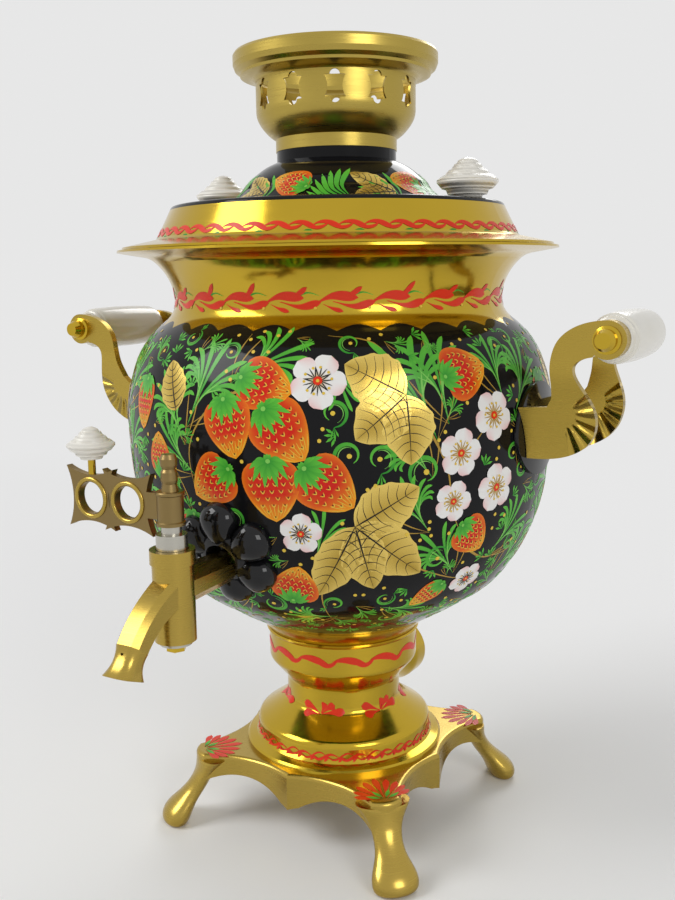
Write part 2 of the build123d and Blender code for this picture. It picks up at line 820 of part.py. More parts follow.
with BuildPart() as tap_body:
    with Locations((0, -tap_axis_r, barrel_bottom_z)):
        Cylinder(
            radius=barrel_r,
            height=barrel_top_z - barrel_bottom_z,
            align=(Align.CENTER, Align.CENTER, Align.MIN),
        )
    with Locations((0, -tap_axis_r, barrel_top_z)):
        Cylinder(
            radius=barrel_flange_r,
            height=barrel_flange_height,
            align=(Align.CENTER, Align.CENTER, Align.MAX),
        )
    add(tapered_shank(0))
    add(spout.part)
    add(beak.part)
    with Locations(Plane(origin=(0, thread_end_y, shank_z), z_dir=(0, -1, 0))):
        Cylinder(
            radius=shank_thread_r,
            height=thread_end_y - shank_end_y + 2,
            align=(Align.CENTER, Align.CENTER, Align.MIN),
        )
        Cylinder(
            radius=passage_r,
            height=thread_end_y + tap_axis_r,
            align=(Align.CENTER, Align.CENTER, Align.MIN),
            mode=Mode.SUBTRACT,
        )
    add(water_way.part, mode=Mode.SUBTRACT)
    with Locations(mouth_plane):
        Cylinder(
            radius=outlet_r,
            height=outlet_length,
            align=(Align.CENTER, Align.CENTER, Align.MAX),
            mode=Mode.SUBTRACT,
        )
    with Locations((0, -tap_axis_r, barrel_bottom_z)):
        Cone(
            bottom_radius=plug_bottom_r,
            top_radius=plug_top_r,
            height=barrel_top_z - barrel_bottom_z,
            align=(Align.CENTER, Align.CENTER, Align.MIN),
            mode=Mode.SUBTRACT,
        )
    with Locations((0, -tap_axis_r, barrel_top_z)):
        Cylinder(
            radius=plug_ring_r + seat_gap,
            height=plug_seat_depth,
            align=(Align.CENTER, Align.CENTER, Align.MAX),
            mode=Mode.SUBTRACT,
        )
tap_body.part.label = "tap_body"
export_step(tap_body.part, "parts/tap_body.step")

# ---------------------------------------------------------------- tap: plug and its fixings
plug_foot_z = barrel_bottom_z + seat_gap
washer_thickness = 1.3
washer_top_z = barrel_bottom_z - seat_gap
plug_nut_height = 2.6
plug_nut_r = 3.4
spindle_r = 2.5
spindle_height = 9.5
plug_slope = (plug_top_r - plug_bottom_r) / (barrel_top_z - barrel_bottom_z)
with BuildPart() as tap_plug:
    with Locations((0, -tap_axis_r, plug_foot_z)):
        Cone(
            bottom_radius=plug_bottom_r + plug_slope * seat_gap - running_gap,
            top_radius=plug_bottom_r + plug_slope * (plug_ring_z - barrel_bottom_z) - running_gap,
            height=plug_ring_z - plug_foot_z,
            align=(Align.CENTER, Align.CENTER, Align.MIN),
        )
    with Locations((0, -tap_axis_r, plug_ring_z)):
        Cylinder(
            radius=plug_ring_r,
            height=plug_ring_height,
            align=(Align.CENTER, Align.CENTER, Align.MIN),
        )
        Cylinder(
            radius=plug_stem_r,
            height=plug_ring_height + plug_stem_height,
            align=(Align.CENTER, Align.CENTER, Align.MIN),
        )
        Cylinder(
            radius=spindle_r,
            height=plug_ring_height + plug_stem_height + spindle_height,
            align=(Align.CENTER, Align.CENTER, Align.MIN),
        )
    with Locations((0, -tap_axis_r, plug_foot_z)):
        Cylinder(
            radius=plug_tail_r,
            height=seat_gap * 2 + washer_thickness + plug_nut_height - 0.4,
            align=(Align.CENTER, Align.CENTER, Align.MAX),
        )
    # The port, across the flow while the key points to the side.
    with Locations(Plane(origin=(0, -tap_axis_r, shank_z), z_dir=(1, 0, 0))):
        Cylinder(radius=passage_r, height=barrel_r * 2, mode=Mode.SUBTRACT)
tap_plug.part.label = "tap_plug"
export_step(tap_plug.part, "parts/tap_plug.step")

with BuildPart() as plug_washer:
    with Locations((0, -tap_axis_r, washer_top_z)):
        Cylinder(
            radius=plug_ring_r + 0.2,
            height=washer_thickness,
            align=(Align.CENTER, Align.CENTER, Align.MAX),
        )
        Hole(radius=plug_tail_r + running_gap)
plug_washer.part.label = "plug_washer"
export_step(plug_washer.part, "parts/plug_washer.step")

with BuildPart() as plug_nut:
    with BuildSketch(Plane.XY.offset(washer_top_z - washer_thickness)):
        with Locations((0, -tap_axis_r)):
            RegularPolygon(radius=plug_nut_r, side_count=6, major_radius=False)
            Circle(radius=plug_tail_r + running_gap, mode=Mode.SUBTRACT)
    extrude(amount=-plug_nut_height)
plug_nut.part.label = "plug_nut"
export_step(plug_nut.part, "parts/plug_nut.step")

# ---------------------------------------------------------------- tap: key
sleeve_top_z = key_sleeve_z + key_sleeve_height
finial_top_z = sleeve_top_z + key_finial_height
key_plane = Plane.XZ.offset(tap_axis_r)
with BuildSketch() as ring_square:
    # A square with hollow sides and drawn-out corners, round one ring of the key.
    with BuildLine():
        for quarter in range(4):
            ThreePointArc(
                turned((key_point_reach, key_point_reach), quarter),
                turned((0, key_ring_outer_r), quarter),
                turned((-key_point_reach, key_point_reach), quarter),
            )
    make_face()
with BuildPart() as tap_key:
    # Sleeve and finial, turned.
    with BuildSketch(key_plane):
        with BuildLine():
            Polyline(
                (0, key_sleeve_z),
                (key_sleeve_r, key_sleeve_z),
                (key_sleeve_r, key_sleeve_z + 1.2),
                (key_sleeve_r - 0.5, key_sleeve_z + 1.6),
                (key_sleeve_r - 0.5, sleeve_top_z - 1.6),
                (key_sleeve_r, sleeve_top_z - 1.2),
                (key_sleeve_r, sleeve_top_z - 0.4),
                (key_sleeve_r - 0.4, sleeve_top_z),
                (key_finial_r, sleeve_top_z),
                (key_finial_r - 0.5, between(sleeve_top_z, finial_top_z, 0.2)),
                (key_finial_r, between(sleeve_top_z, finial_top_z, 0.3)),
                (key_finial_r - 0.2, between(sleeve_top_z, finial_top_z, 0.52)),
                (key_finial_r - 0.8, between(sleeve_top_z, finial_top_z, 0.6)),
                (key_finial_r - 0.1, between(sleeve_top_z, finial_top_z, 0.7)),
                (key_finial_r, between(sleeve_top_z, finial_top_z, 0.88)),
                (key_finial_r - 0.7, finial_top_z),
                (0, finial_top_z),
                close=True,
            )
        make_face()
    revolve(axis=Axis((0, -tap_axis_r, 0), (0, 0, 1)))
    # The flat casting: two pierced rings, each in a hollow-sided square with pointed corners.
    with BuildSketch(key_plane):
        with Locations((-key_ring_near, key_plate_z), (-key_ring_far, key_plate_z)):
            add(ring_square.sketch)
        with Locations((-key_ring_near / 2, key_plate_z)):
            Rectangle(key_ring_near - 2, key_ring_outer_r * 1.1)
        with Locations((-key_ring_near, key_plate_z), (-key_ring_far, key_plate_z)):
            Circle(radius=key_ring_bore_r, mode=Mode.SUBTRACT)
    extrude(amount=key_plate_thickness / 2, both=True)
    with Locations((0, -tap_axis_r, key_sleeve_z)):
        Cylinder(
            radius=spindle_r + running_gap,
            height=spindle_height + 0.5,
            align=(Align.CENTER, Align.CENTER, Align.MIN),
            mode=Mode.SUBTRACT,
        )
tap_key.part.label = "tap_key"
export_step(tap_key.part, "parts/tap_key.step")

key_plate_top_z = key_plate_z + key_ring_outer_r + 0.05
key_knob_z = key_plate_top_z + key_post_height + 3.0
post_grip = 6.0
with BuildPart() as key_knob_post:
    with Locations((-key_ring_far, -tap_axis_r, key_plate_top_z)):
        Cylinder(
            radius=key_post_r,
            height=key_knob_z - key_plate_top_z + post_grip,
            align=(Align.CENTER, Align.CENTER, Align.MIN),
        )
key_knob_post.part.label = "key_knob_post"
export_step(key_knob_post.part, "parts/key_knob_post.step")

with BuildPart() as key_knob:
    add(
        beehive_knob(
            (-key_ring_far, -tap_axis_r, key_knob_z),
            key_knob_r,
            key_knob_height,
            key_post_r + running_gap,
            post_grip + 0.5,
        )
    )
key_knob.part.label = "key_knob"
export_step(key_knob.part, "parts/key_knob.step")

# ---------------------------------------------------------------- tap: rosette, gasket and nut
rosette_lean = degrees(
    atan2(vessel_radius(rosette_z + 10) - vessel_radius(rosette_z - 10), 20)
)
rosette_plane = Plane(
    origin=(0, -vessel_radius(rosette_z), rosette_z),
    x_dir=(1, 0, 0),
    z_dir=(0, -cos(rosette_lean * pi / 180), -sin(rosette_lean * pi / 180)),
)
with BuildPart() as tap_rosette:
    with BuildSketch(rosette_plane.offset(-rosette_r)):
        Circle(rosette_r)
        with PolarLocations(rosette_r, rosette_petal_count):
            Circle(rosette_petal_r)
    extrude(amount=rosette_r + rosette_height)
    with Locations(rosette_plane.offset(rosette_height - petal_dome_sink)):
        with PolarLocations(rosette_r, rosette_petal_count):
            Sphere(petal_dome_r)
    add(vessel_outside, mode=Mode.SUBTRACT)
    add(tapered_shank(hole_gap), mode=Mode.SUBTRACT)
    with Locations(Plane(origin=(0, 0, shank_z), z_dir=(0, -1, 0))):
        Cylinder(
            radius=shank_thread_r + hole_gap,
            height=tap_axis_r,
            align=(Align.CENTER, Align.CENTER, Align.MIN),
            mode=Mode.SUBTRACT,
        )
tap_rosette.part.label = "tap_rosette"
export_step(tap_rosette.part, "parts/tap_rosette.step")

# Rubber gasket: its outer face follows the vessel's wall, its inner face is flat for the nut.
gasket_r = 9.5
nut_seat_y = -(vessel_radius(shank_z - gasket_r) - vessel_wall - seat_gap - gasket_thickness)
with BuildPart() as tap_gasket:
    with Locations(Plane(origin=(0, nut_seat_y, shank_z), z_dir=(0, -1, 0))):
        Cylinder(
            radius=gasket_r,
            height=vessel_belly_r,
            align=(Align.CENTER, Align.CENTER, Align.MIN),
        )
        Hole(radius=shank_thread_r + running_gap)
    add(vessel_inside, mode=Mode.INTERSECT)
tap_gasket.part.label = "tap_gasket"
export_step(tap_gasket.part, "parts/tap_gasket.step")

tap_nut_height = 4.5
with BuildPart() as tap_nut:
    with BuildSketch(Plane(origin=(0, nut_seat_y, shank_z), z_dir=(0, 1, 0))):
        RegularPolygon(radius=gasket_r - 1, side_count=6, major_radius=False)
        Circle(radius=shank_thread_r + running_gap, mode=Mode.SUBTRACT)
    extrude(amount=tap_nut_height)
tap_nut.part.label = "tap_nut"
export_step(tap_nut.part, "parts/tap_nut.step")

# ---------------------------------------------------------------- handles
plate_outside = vessel_envelope(seat_gap + handle_plate_thickness)
plate_clear = vessel_envelope(2 * seat_gap + handle_plate_thickness)
boss_y = grip_length / 2 + 0.2 + arm_boss_length / 2
arm_y = boss_y + (arm_boss_length - arm_thickness) / 2
root_low_z = arm_root_z - arm_root_height / 2
root_high_z = arm_root_z + arm_root_height / 2
arm_bend_x = between(vessel_belly_r, grip_axis_r, 0.83)
arm_neck_x = between(vessel_belly_r, grip_axis_r, 0.64)
arm_back_x = between(vessel_belly_r, grip_axis_r, 0.39)
with BuildPart() as arm_form:
    # Side outline: out from the root, round the fanned bend, in to the neck, up to the boss.
    with BuildSketch(Plane.XZ):
        with BuildLine():
            lower_edge = Spline(
                (vessel_belly_r - 6, root_low_z + 0.6),
                (between(vessel_belly_r, grip_axis_r, 0.15), root_low_z + 0.4),
                (between(vessel_belly_r, grip_axis_r, 0.5), root_low_z + 2.6),
                (between(vessel_belly_r, grip_axis_r, 0.76), root_low_z + 9.5),
                (arm_bend_x, between(root_low_z, grip_z, 0.4)),
                (between(arm_bend_x, arm_neck_x, 0.55), between(root_low_z, grip_z, 0.6)),
                (arm_neck_x, between(root_low_z, grip_z, 0.76)),
                (grip_axis_r - arm_boss_r * 0.75, grip_z - arm_boss_r * 0.9),
            )
            Polyline(lower_edge @ 1, (grip_axis_r, grip_z), (grip_axis_r, grip_z + arm_boss_r))
            upper_edge = Spline(
                (grip_axis_r, grip_z + arm_boss_r),
                (between(arm_back_x, grip_axis_r, 0.5), grip_z + arm_boss_r * 0.72),
                (between(arm_back_x, grip_axis_r, 0.1), grip_z - 2),
                (arm_back_x, between(root_high_z, grip_z, 0.5)),
                (arm_back_x - 0.6, root_high_z + 5),
                tangents=[(-1, -0.05), (-0.15, -1)],
            )
            Polyline(
                upper_edge @ 1,
                (arm_back_x - 3, root_high_z + 1.2),
                (vessel_belly_r - 6, root_high_z),
                lower_edge @ 0,
            )
        make_face()
    extrude(amount=arm_y + arm_thickness, both=True)
    # Front outline: upright beside the grip, drawn in towards the root.
    with BuildSketch(Plane.YZ):
        with BuildLine():
            inner_face = Spline(
                (arm_root_spread - 1.2, root_low_z - 3),
                (between(arm_root_spread, arm_y, 0.12), arm_root_z),
                (between(arm_root_spread, arm_y, 0.66), between(arm_root_z, grip_z, 0.5)),
                (arm_y - arm_thickness / 2, grip_z - arm_boss_r),
                tangents=[(0.1, 1), (0, 1)],
            )
            Line(inner_face @ 1, (arm_y - arm_thickness / 2, grip_z + 12))
            Line(
                (arm_y - arm_thickness / 2, grip_z + 12), (arm_y + arm_thickness / 2, grip_z + 12)
            )
            Line((arm_y + arm_thickness / 2, grip_z + 12), inner_face @ 1 + Vector(arm_thickness, 0))
            outer_face = Spline(*inset(inner_face, -arm_thickness, 6))
            Line(outer_face @ 0, inner_face @ 0)
        make_face()
    extrude(amount=grip_axis_r + 20, mode=Mode.INTERSECT)
    with Locations(Plane(origin=(grip_axis_r, boss_y, grip_z), z_dir=(0, 1, 0))):
        Cylinder(radius=arm_boss_r, height=arm_boss_length)
    # Root lug behind the arm, for the screw.
    with Locations(Plane(origin=(vessel_belly_r - 6, arm_root_spread, arm_root_z), z_dir=(1, 0, 0))):
        Cylinder(
            radius=handle_stud_r + 2,
            height=16,
            align=(Align.CENTER, Align.CENTER, Align.MIN),
        )
    add(plate_clear, mode=Mode.SUBTRACT)
    with Locations(Plane(origin=(grip_axis_r, boss_y, grip_z), z_dir=(0, 1, 0))):
        Cylinder(radius=rod_r + hole_gap, height=arm_boss_length + 2, mode=Mode.SUBTRACT)
    with Locations(Plane(origin=(vessel_belly_r - 6, arm_root_spread, arm_root_z), z_dir=(1, 0, 0))):
        Cylinder(
            radius=handle_stud_r + running_gap,
            height=14,
            align=(Align.CENTER, Align.CENTER, Align.MIN),
            mode=Mode.SUBTRACT,
        )

for side, across in (("right", 1), ("left", -1)):
    for end, along in (("rear", 1), ("front", -1)):
        with BuildPart() as handle_arm:
            arm = arm_form.part if across > 0 else arm_form.part.mirror(Plane.YZ)
            add(arm if along > 0 else arm.mirror(Plane.XZ))
        handle_arm.part.label = f"handle_arm_{side}_{end}"
        export_step(handle_arm.part, f"parts/handle_arm_{side}_{end}.step")

# Half of the grip's turned outline: radius, and the way from an end to the middle.
GRIP_RINGS = [(0.72, 0.0), (0.76, 0.05), (0.84, 0.07), (0.86, 0.13), (0.93, 0.16), (0.95, 0.24)]
screw_washer_thickness = 2.0
for side, across in (("right", 1), ("left", -1)):
    grip_plane = Plane(origin=(across * grip_axis_r, 0, grip_z), x_dir=(1, 0, 0), z_dir=(0, 0, 1))
    grip_axis = Axis((across * grip_axis_r, 0, grip_z), (0, 1, 0))
    ring_points = [(grip_r * r, -grip_length / 2 * (1 - y)) for r, y in GRIP_RINGS]
    with BuildPart() as grip:
        with BuildSketch(grip_plane):
            with BuildLine():
                near_rings = Polyline(*ring_points)
                far_rings = Polyline(*[(r, -y) for r, y in ring_points])
                ThreePointArc(near_rings @ 1, (grip_r, 0), far_rings @ 1)
                Polyline(
                    far_rings @ 0,
                    (rod_r + hole_gap, grip_length / 2),
                    (rod_r + hole_gap, -grip_length / 2),
                    near_rings @ 0,
                )
            make_face()
        revolve(axis=grip_axis)
    grip.part.label = f"grip_{side}"
    export_step(grip.part, f"parts/grip_{side}.step")

    rod_half = boss_y + arm_boss_length / 2 + dome_nut_length * 0.6
    with BuildPart() as grip_rod:
        with Locations(Plane(origin=(across * grip_axis_r, 0, grip_z), z_dir=(0, 1, 0))):
            Cylinder(radius=rod_r, height=rod_half * 2)
    grip_rod.part.label = f"grip_rod_{side}"
    export_step(grip_rod.part, f"parts/grip_rod_{side}.step")

    nut_face = boss_y + arm_boss_length / 2
    with BuildPart() as dome_nuts:
        with BuildSketch(grip_plane):
            with BuildLine():
                Polyline(
                    (rod_r + running_gap, nut_face),
                    (dome_nut_r + 1.2, nut_face),
                    (dome_nut_r + 1.2, nut_face + 0.8),
                    (dome_nut_r, nut_face + 1.2),
                    (dome_nut_r, nut_face + dome_nut_length * 0.6),
                    (dome_nut_r * 0.72, nut_face + dome_nut_length),
                    (0, nut_face + dome_nut_length),
                    (0, rod_half + running_gap),
                    (rod_r + running_gap, rod_half + running_gap),
                    close=True,
                )
            make_face()
            mirror(about=Plane.XZ)
        revolve(axis=grip_axis)
    dome_nuts.part.label = f"dome_nuts_{side}"
    export_step(dome_nuts.part, f"parts/dome_nuts_{side}.step")

    with BuildPart() as handle_plate:
        with BuildSketch(Plane(origin=(0, 0, arm_root_z), x_dir=(0, across, 0), z_dir=(across, 0, 0))):
            Ellipse(handle_plate_width / 2, handle_plate_height / 2)
        extrude(amount=grip_axis_r)
        add(plate_outside, mode=Mode.INTERSECT)
        add(vessel_outside, mode=Mode.SUBTRACT)
        for along in (1, -1):
            with Locations(Plane(origin=(0, along * arm_root_spread, arm_root_z), z_dir=(across, 0, 0))):
                Cylinder(
                    radius=stud_hole_r,
                    height=grip_axis_r,
                    align=(Align.CENTER, Align.CENTER, Align.MIN),
                    mode=Mode.SUBTRACT,
                )
    handle_plate.part.label = f"handle_plate_{side}"
    export_step(handle_plate.part, f"parts/handle_plate_{side}.step")

    # Screws from inside the vessel, each on a rubber washer.
    washer_r = screw_head_r + 0.6
    wall_r = vessel_radius(arm_root_z - washer_r) - vessel_wall
    head_x = sqrt(wall_r**2 - (arm_root_spread + washer_r) ** 2) - screw_washer_thickness - seat_gap
    with BuildPart() as handle_washers:
        for along in (1, -1):
            with Locations(
                Plane(
                    origin=(across * head_x, along * arm_root_spread, arm_root_z),
                    z_dir=(across, 0, 0),
                )
            ):
                Cylinder(
                    radius=washer_r,
                    height=screw_washer_thickness,
                    align=(Align.CENTER, Align.CENTER, Align.MIN),
                )
                Hole(radius=handle_stud_r + running_gap)
    handle_washers.part.label = f"handle_washers_{side}"
    export_step(handle_washers.part, f"parts/handle_washers_{side}.step")

    with BuildPart() as handle_screws:
        for along in (1, -1):
            with Locations(
                Plane(
                    origin=(across * head_x, along * arm_root_spread, arm_root_z),
                    z_dir=(across, 0, 0),
                )
            ):
                Cylinder(
                    radius=screw_head_r,
                    height=screw_head_height,
                    align=(Align.CENTER, Align.CENTER, Align.MAX),
                )
                Cylinder(
                    radius=handle_stud_r,
                    height=vessel_belly_r + 7.0 - head_x,
                    align=(Align.CENTER, Align.CENTER, Align.MIN),
                )
    handle_screws.part.label = f"handle_screws_{side}"
    export_step(handle_screws.part, f"parts/handle_screws_{side}.step")

# ---------------------------------------------------------------- heater and clamp
heater_gasket_z = vessel_z - gasket_thickness
heater_flange_z = heater_gasket_z - heater_flange_thickness
flange_screw_r = between(heater_hole_r, heater_flange_r, 0.5)
heater_pin_z = heater_flange_z - 10.0
heater_end_z = heater_flange_z - 4.0
heater_top_z = vessel_z + heater_rise
lead_x = inlet_pin_spacing / 2
with BuildPart() as heater_gasket:
    with BuildSketch(Plane.XY.offset(heater_gasket_z)):
        Circle(heater_flange_r)
        Circle(heater_hole_r, mode=Mode.SUBTRACT)
        with PolarLocations(flange_screw_r, 4, start_angle=45):
            Circle(screw_r + hole_gap, mode=Mode.SUBTRACT)
    extrude(amount=gasket_thickness)
heater_gasket.part.label = "heater_gasket"
export_step(heater_gasket.part, "parts/heater_gasket.step")

with BuildPart() as heater_flange:
    with BuildSketch(Plane.XY.offset(heater_flange_z)):
        Circle(heater_flange_r)
        with PolarLocations(flange_screw_r, 4, start_angle=45):
            Circle(screw_r + hole_gap, mode=Mode.SUBTRACT)
        with Locations((lead_x, 0), (-lead_x, 0)):
            Circle(heater_tube_r + running_gap, mode=Mode.SUBTRACT)
        Circle(clamp_stud_r + running_gap, mode=Mode.SUBTRACT)
    extrude(amount=heater_flange_thickness)
heater_flange.part.label = "heater_flange"
export_step(heater_flange.part, "parts/heater_flange.step")

with BuildPart() as heater_tube:
    with BuildLine():
        heater_path = FilletPolyline(
            (lead_x, 0, heater_end_z),
            (lead_x, 0, heater_top_z),
            (heater_span, heater_span, heater_top_z),
            (-heater_span, heater_span, heater_top_z),
            (-lead_x, 0, heater_top_z),
            (-lead_x, 0, heater_end_z),
            radius=heater_bend_r,
        )
    with BuildSketch(Plane.XY.offset(heater_end_z)):
        with Locations((lead_x, 0)):
            Circle(heater_tube_r)
    sweep()
heater_tube.part.label = "heater_tube"
export_step(heater_tube.part, "parts/heater_tube.step")

with BuildPart() as heater_pins:
    with Locations((lead_x, 0, heater_end_z), (-lead_x, 0, heater_end_z)):
        Cylinder(
            radius=heater_pin_r,
            height=heater_end_z - heater_pin_z,
            align=(Align.CENTER, Align.CENTER, Align.MAX),
        )
heater_pins.part.label = "heater_pins"
export_step(heater_pins.part, "parts/heater_pins.step")

with BuildPart() as flange_screws:
    with BuildSketch(Plane.XY.offset(floor_top_z)):
        with PolarLocations(flange_screw_r, 4, start_angle=45):
            Circle(screw_head_r)
    extrude(amount=screw_head_height)
    with BuildSketch(Plane.XY.offset(floor_top_z)):
        with PolarLocations(flange_screw_r, 4, start_angle=45):
            Circle(screw_r)
    extrude(amount=-(vessel_wall + gasket_thickness + heater_flange_thickness + 4.0))
flange_screws.part.label = "flange_screws"
export_step(flange_screws.part, "parts/flange_screws.step")

with BuildPart() as flange_nuts:
    with BuildSketch(Plane.XY.offset(heater_flange_z)):
        with PolarLocations(flange_screw_r, 4, start_angle=45):
            RegularPolygon(radius=screw_head_r, side_count=6, major_radius=False)
        with PolarLocations(flange_screw_r, 4, start_angle=45):
            Circle(screw_r + running_gap, mode=Mode.SUBTRACT)
    extrude(amount=-3.2)
flange_nuts.part.label = "flange_nuts"
export_step(flange_nuts.part, "parts/flange_nuts.step")

clamp_plate_r = base_wire_hole_r + 6
clamp_plate_thickness = 2.0
clamp_low_z = base_top_z - base_plate_thickness - clamp_plate_thickness
with BuildPart() as clamp_stud:
    with Locations((0, 0, clamp_low_z - clamp_nut_height - 1.5)):
        Cylinder(
            radius=clamp_stud_r,
            height=heater_gasket_z - clamp_low_z + clamp_nut_height + 1.5,
            align=(Align.CENTER, Align.CENTER, Align.MIN),
        )
clamp_stud.part.label = "clamp_stud"
export_step(clamp_stud.part, "parts/clamp_stud.step")

with BuildPart() as clamp_plate:
    with BuildSketch(Plane.XY.offset(clamp_low_z)):
        Circle(clamp_plate_r)
        Circle(clamp_stud_r + hole_gap, mode=Mode.SUBTRACT)
    extrude(amount=clamp_plate_thickness)
clamp_plate.part.label = "clamp_plate"
export_step(clamp_plate.part, "parts/clamp_plate.step")

with BuildPart() as clamp_nut:
    with BuildSketch(Plane.XY.offset(clamp_low_z)):
        RegularPolygon(radius=clamp_stud_r * 1.8, side_count=6, major_radius=False)
        Circle(clamp_stud_r + running_gap, mode=Mode.SUBTRACT)
    extrude(amount=-clamp_nut_height)
clamp_nut.part.label = "clamp_nut"
export_step(clamp_nut.part, "parts/clamp_nut.step")

# ---------------------------------------------------------------- mains inlet
inlet_plane = Plane(origin=(0, 0, inlet_z), x_dir=(1, 0, 0), z_dir=(0, 0, 1))
inlet_axis = Axis((0, 0, inlet_z), (0, 1, 0))
block_y = inlet_reach - inlet_depth
cavity_r = inlet_mouth_r - inlet_wall
with BuildPart() as pedestal_filled:
    with BuildSketch(Plane.XZ):
        with BuildLine():
            add(moved_out(pedestal_outline, seat_gap))
            Polyline(
                (pedestal_band_r + seat_gap, pedestal_top_z - pedestal_wall),
                (0, pedestal_top_z - pedestal_wall),
                (0, base_top_z),
                (pedestal_disc_r + seat_gap, base_top_z),
                (ledge_r + seat_gap, disc_top_z + 1.2),
                (pedestal_cone_r + seat_gap, disc_top_z + 2.8),
            )
        make_face()
    revolve(axis=Axis.Z)

with BuildPart() as inlet_shroud:
    with BuildSketch(inlet_plane):
        with BuildLine():
            Polyline(
                (inlet_root_r - inlet_wall, 0),
                (inlet_root_r, 0),
                (inlet_root_r, pedestal_waist_r + 2),
            )
            cup_side = Spline(
                (inlet_root_r, pedestal_waist_r + 2),
                (between(inlet_root_r, inlet_mouth_r, 0.7), block_y + 3),
                (inlet_mouth_r, block_y + 8),
                tangents=[(0, 1), (0, 1)],
            )
            Polyline(
                (inlet_mouth_r, block_y + 8),
                (inlet_mouth_r, inlet_reach - 1),
                (inlet_mouth_r - 1, inlet_reach),
                (cavity_r, inlet_reach),
                (cavity_r, block_y + 8),
                (inlet_root_r - inlet_wall, block_y),
                (inlet_root_r - inlet_wall, 0),
            )
        make_face()
    revolve(axis=inlet_axis)
    add(pedestal_filled.part, mode=Mode.SUBTRACT)
inlet_shroud.part.label = "inlet_shroud"
export_step(inlet_shroud.part, "parts/inlet_shroud.step")

block_r = inlet_root_r - inlet_wall - running_gap
pin_spots = [
    Plane(origin=(side * inlet_pin_spacing / 2, block_y, inlet_z), z_dir=(0, 1, 0))
    for side in (1, -1)
]
with BuildPart() as inlet_block:
    with Locations(Plane(origin=(0, block_y, inlet_z), z_dir=(0, 1, 0))):
        Cylinder(
            radius=block_r,
            height=inlet_block_thickness,
            align=(Align.CENTER, Align.CENTER, Align.MAX),
        )
    with Locations(*pin_spots):
        Cylinder(radius=inlet_pin_tail_r + running_gap, height=inlet_depth * 2, mode=Mode.SUBTRACT)
inlet_block.part.label = "inlet_block"
export_step(inlet_block.part, "parts/inlet_block.step")

pin_low_y = block_y - inlet_block_thickness - 6.0
with BuildPart() as inlet_pins:
    with Locations(*pin_spots):
        Cylinder(
            radius=inlet_pin_r,
            height=inlet_pin_length,
            align=(Align.CENTER, Align.CENTER, Align.MIN),
        )
        Cylinder(
            radius=inlet_pin_tail_r,
            height=block_y - pin_low_y,
            align=(Align.CENTER, Align.CENTER, Align.MAX),
        )
inlet_pins.part.label = "inlet_pins"
export_step(inlet_pins.part, "parts/inlet_pins.step")

for name, side in (("lead_live", 1), ("lead_neutral", -1)):
    with BuildPart() as lead:
        with BuildLine():
            lead_path = FilletPolyline(
                (side * inlet_pin_spacing / 2, pin_low_y, inlet_z),
                (side * lead_x, 0, inlet_z),
                (side * lead_x, 0, heater_pin_z),
                radius=lead_r * 5,
            )
        with BuildSketch(Plane(origin=lead_path @ 0, z_dir=lead_path % 0)):
            Circle(lead_r)
        sweep()
    lead.part.label = name
    export_step(lead.part, f"parts/{name}.step")
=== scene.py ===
# %% [markdown]
# # A painted samovar
# The packed model gives every piece its place and size. This scene gives the pieces their finish:
# smooth spun metal, turned knobs, black lacquer, and the berries, flowers and gilded leaves that a
# painter lays on the lacquer with a brush.
#
# Lengths in this script are millimetres, and `MM` turns them into Blender's metres. Azimuths are
# degrees round the upright axis, seen from above: 0 at the tap, 90 at the right handle, 180 at the inlet.

import json
import math
import random

import bmesh
import bpy
from mathutils import Matrix, Vector
from mathutils.bvhtree import BVHTree


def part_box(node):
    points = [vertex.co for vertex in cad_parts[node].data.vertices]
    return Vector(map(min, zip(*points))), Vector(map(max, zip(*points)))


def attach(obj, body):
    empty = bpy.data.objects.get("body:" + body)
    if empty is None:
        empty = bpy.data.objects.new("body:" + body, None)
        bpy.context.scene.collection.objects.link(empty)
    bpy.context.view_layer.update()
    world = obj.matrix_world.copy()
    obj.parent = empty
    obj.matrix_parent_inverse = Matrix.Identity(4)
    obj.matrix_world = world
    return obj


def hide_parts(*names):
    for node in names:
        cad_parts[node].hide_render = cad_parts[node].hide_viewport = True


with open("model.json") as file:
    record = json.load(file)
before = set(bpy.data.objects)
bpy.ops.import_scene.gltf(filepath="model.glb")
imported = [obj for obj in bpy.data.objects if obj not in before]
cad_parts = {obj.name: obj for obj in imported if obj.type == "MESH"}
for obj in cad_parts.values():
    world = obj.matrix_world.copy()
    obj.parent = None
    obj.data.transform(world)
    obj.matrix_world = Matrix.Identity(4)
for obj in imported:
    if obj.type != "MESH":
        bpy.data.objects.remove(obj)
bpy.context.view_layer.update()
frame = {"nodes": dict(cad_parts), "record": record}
MM = 0.001
VESSEL, LID, KEY = "vessel_and_base", "lid_assembly", "key_assembly"


def span(node):
    """Lowest and highest corner of a CAD node, in millimetres."""
    low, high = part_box(node)
    return Vector(low) / MM, Vector(high) / MM


# %% [markdown]
# ## Node trees as arithmetic
# Every finish on the samovar is a tree of nodes, and most of a tree is sums. Wired by hand, a sum hides
# its own idea. A `Shade` wraps one socket and adds, multiplies and compares like a number, and each
# operation leaves a Math node behind. The same class serves the finishes, the borders and the studio.

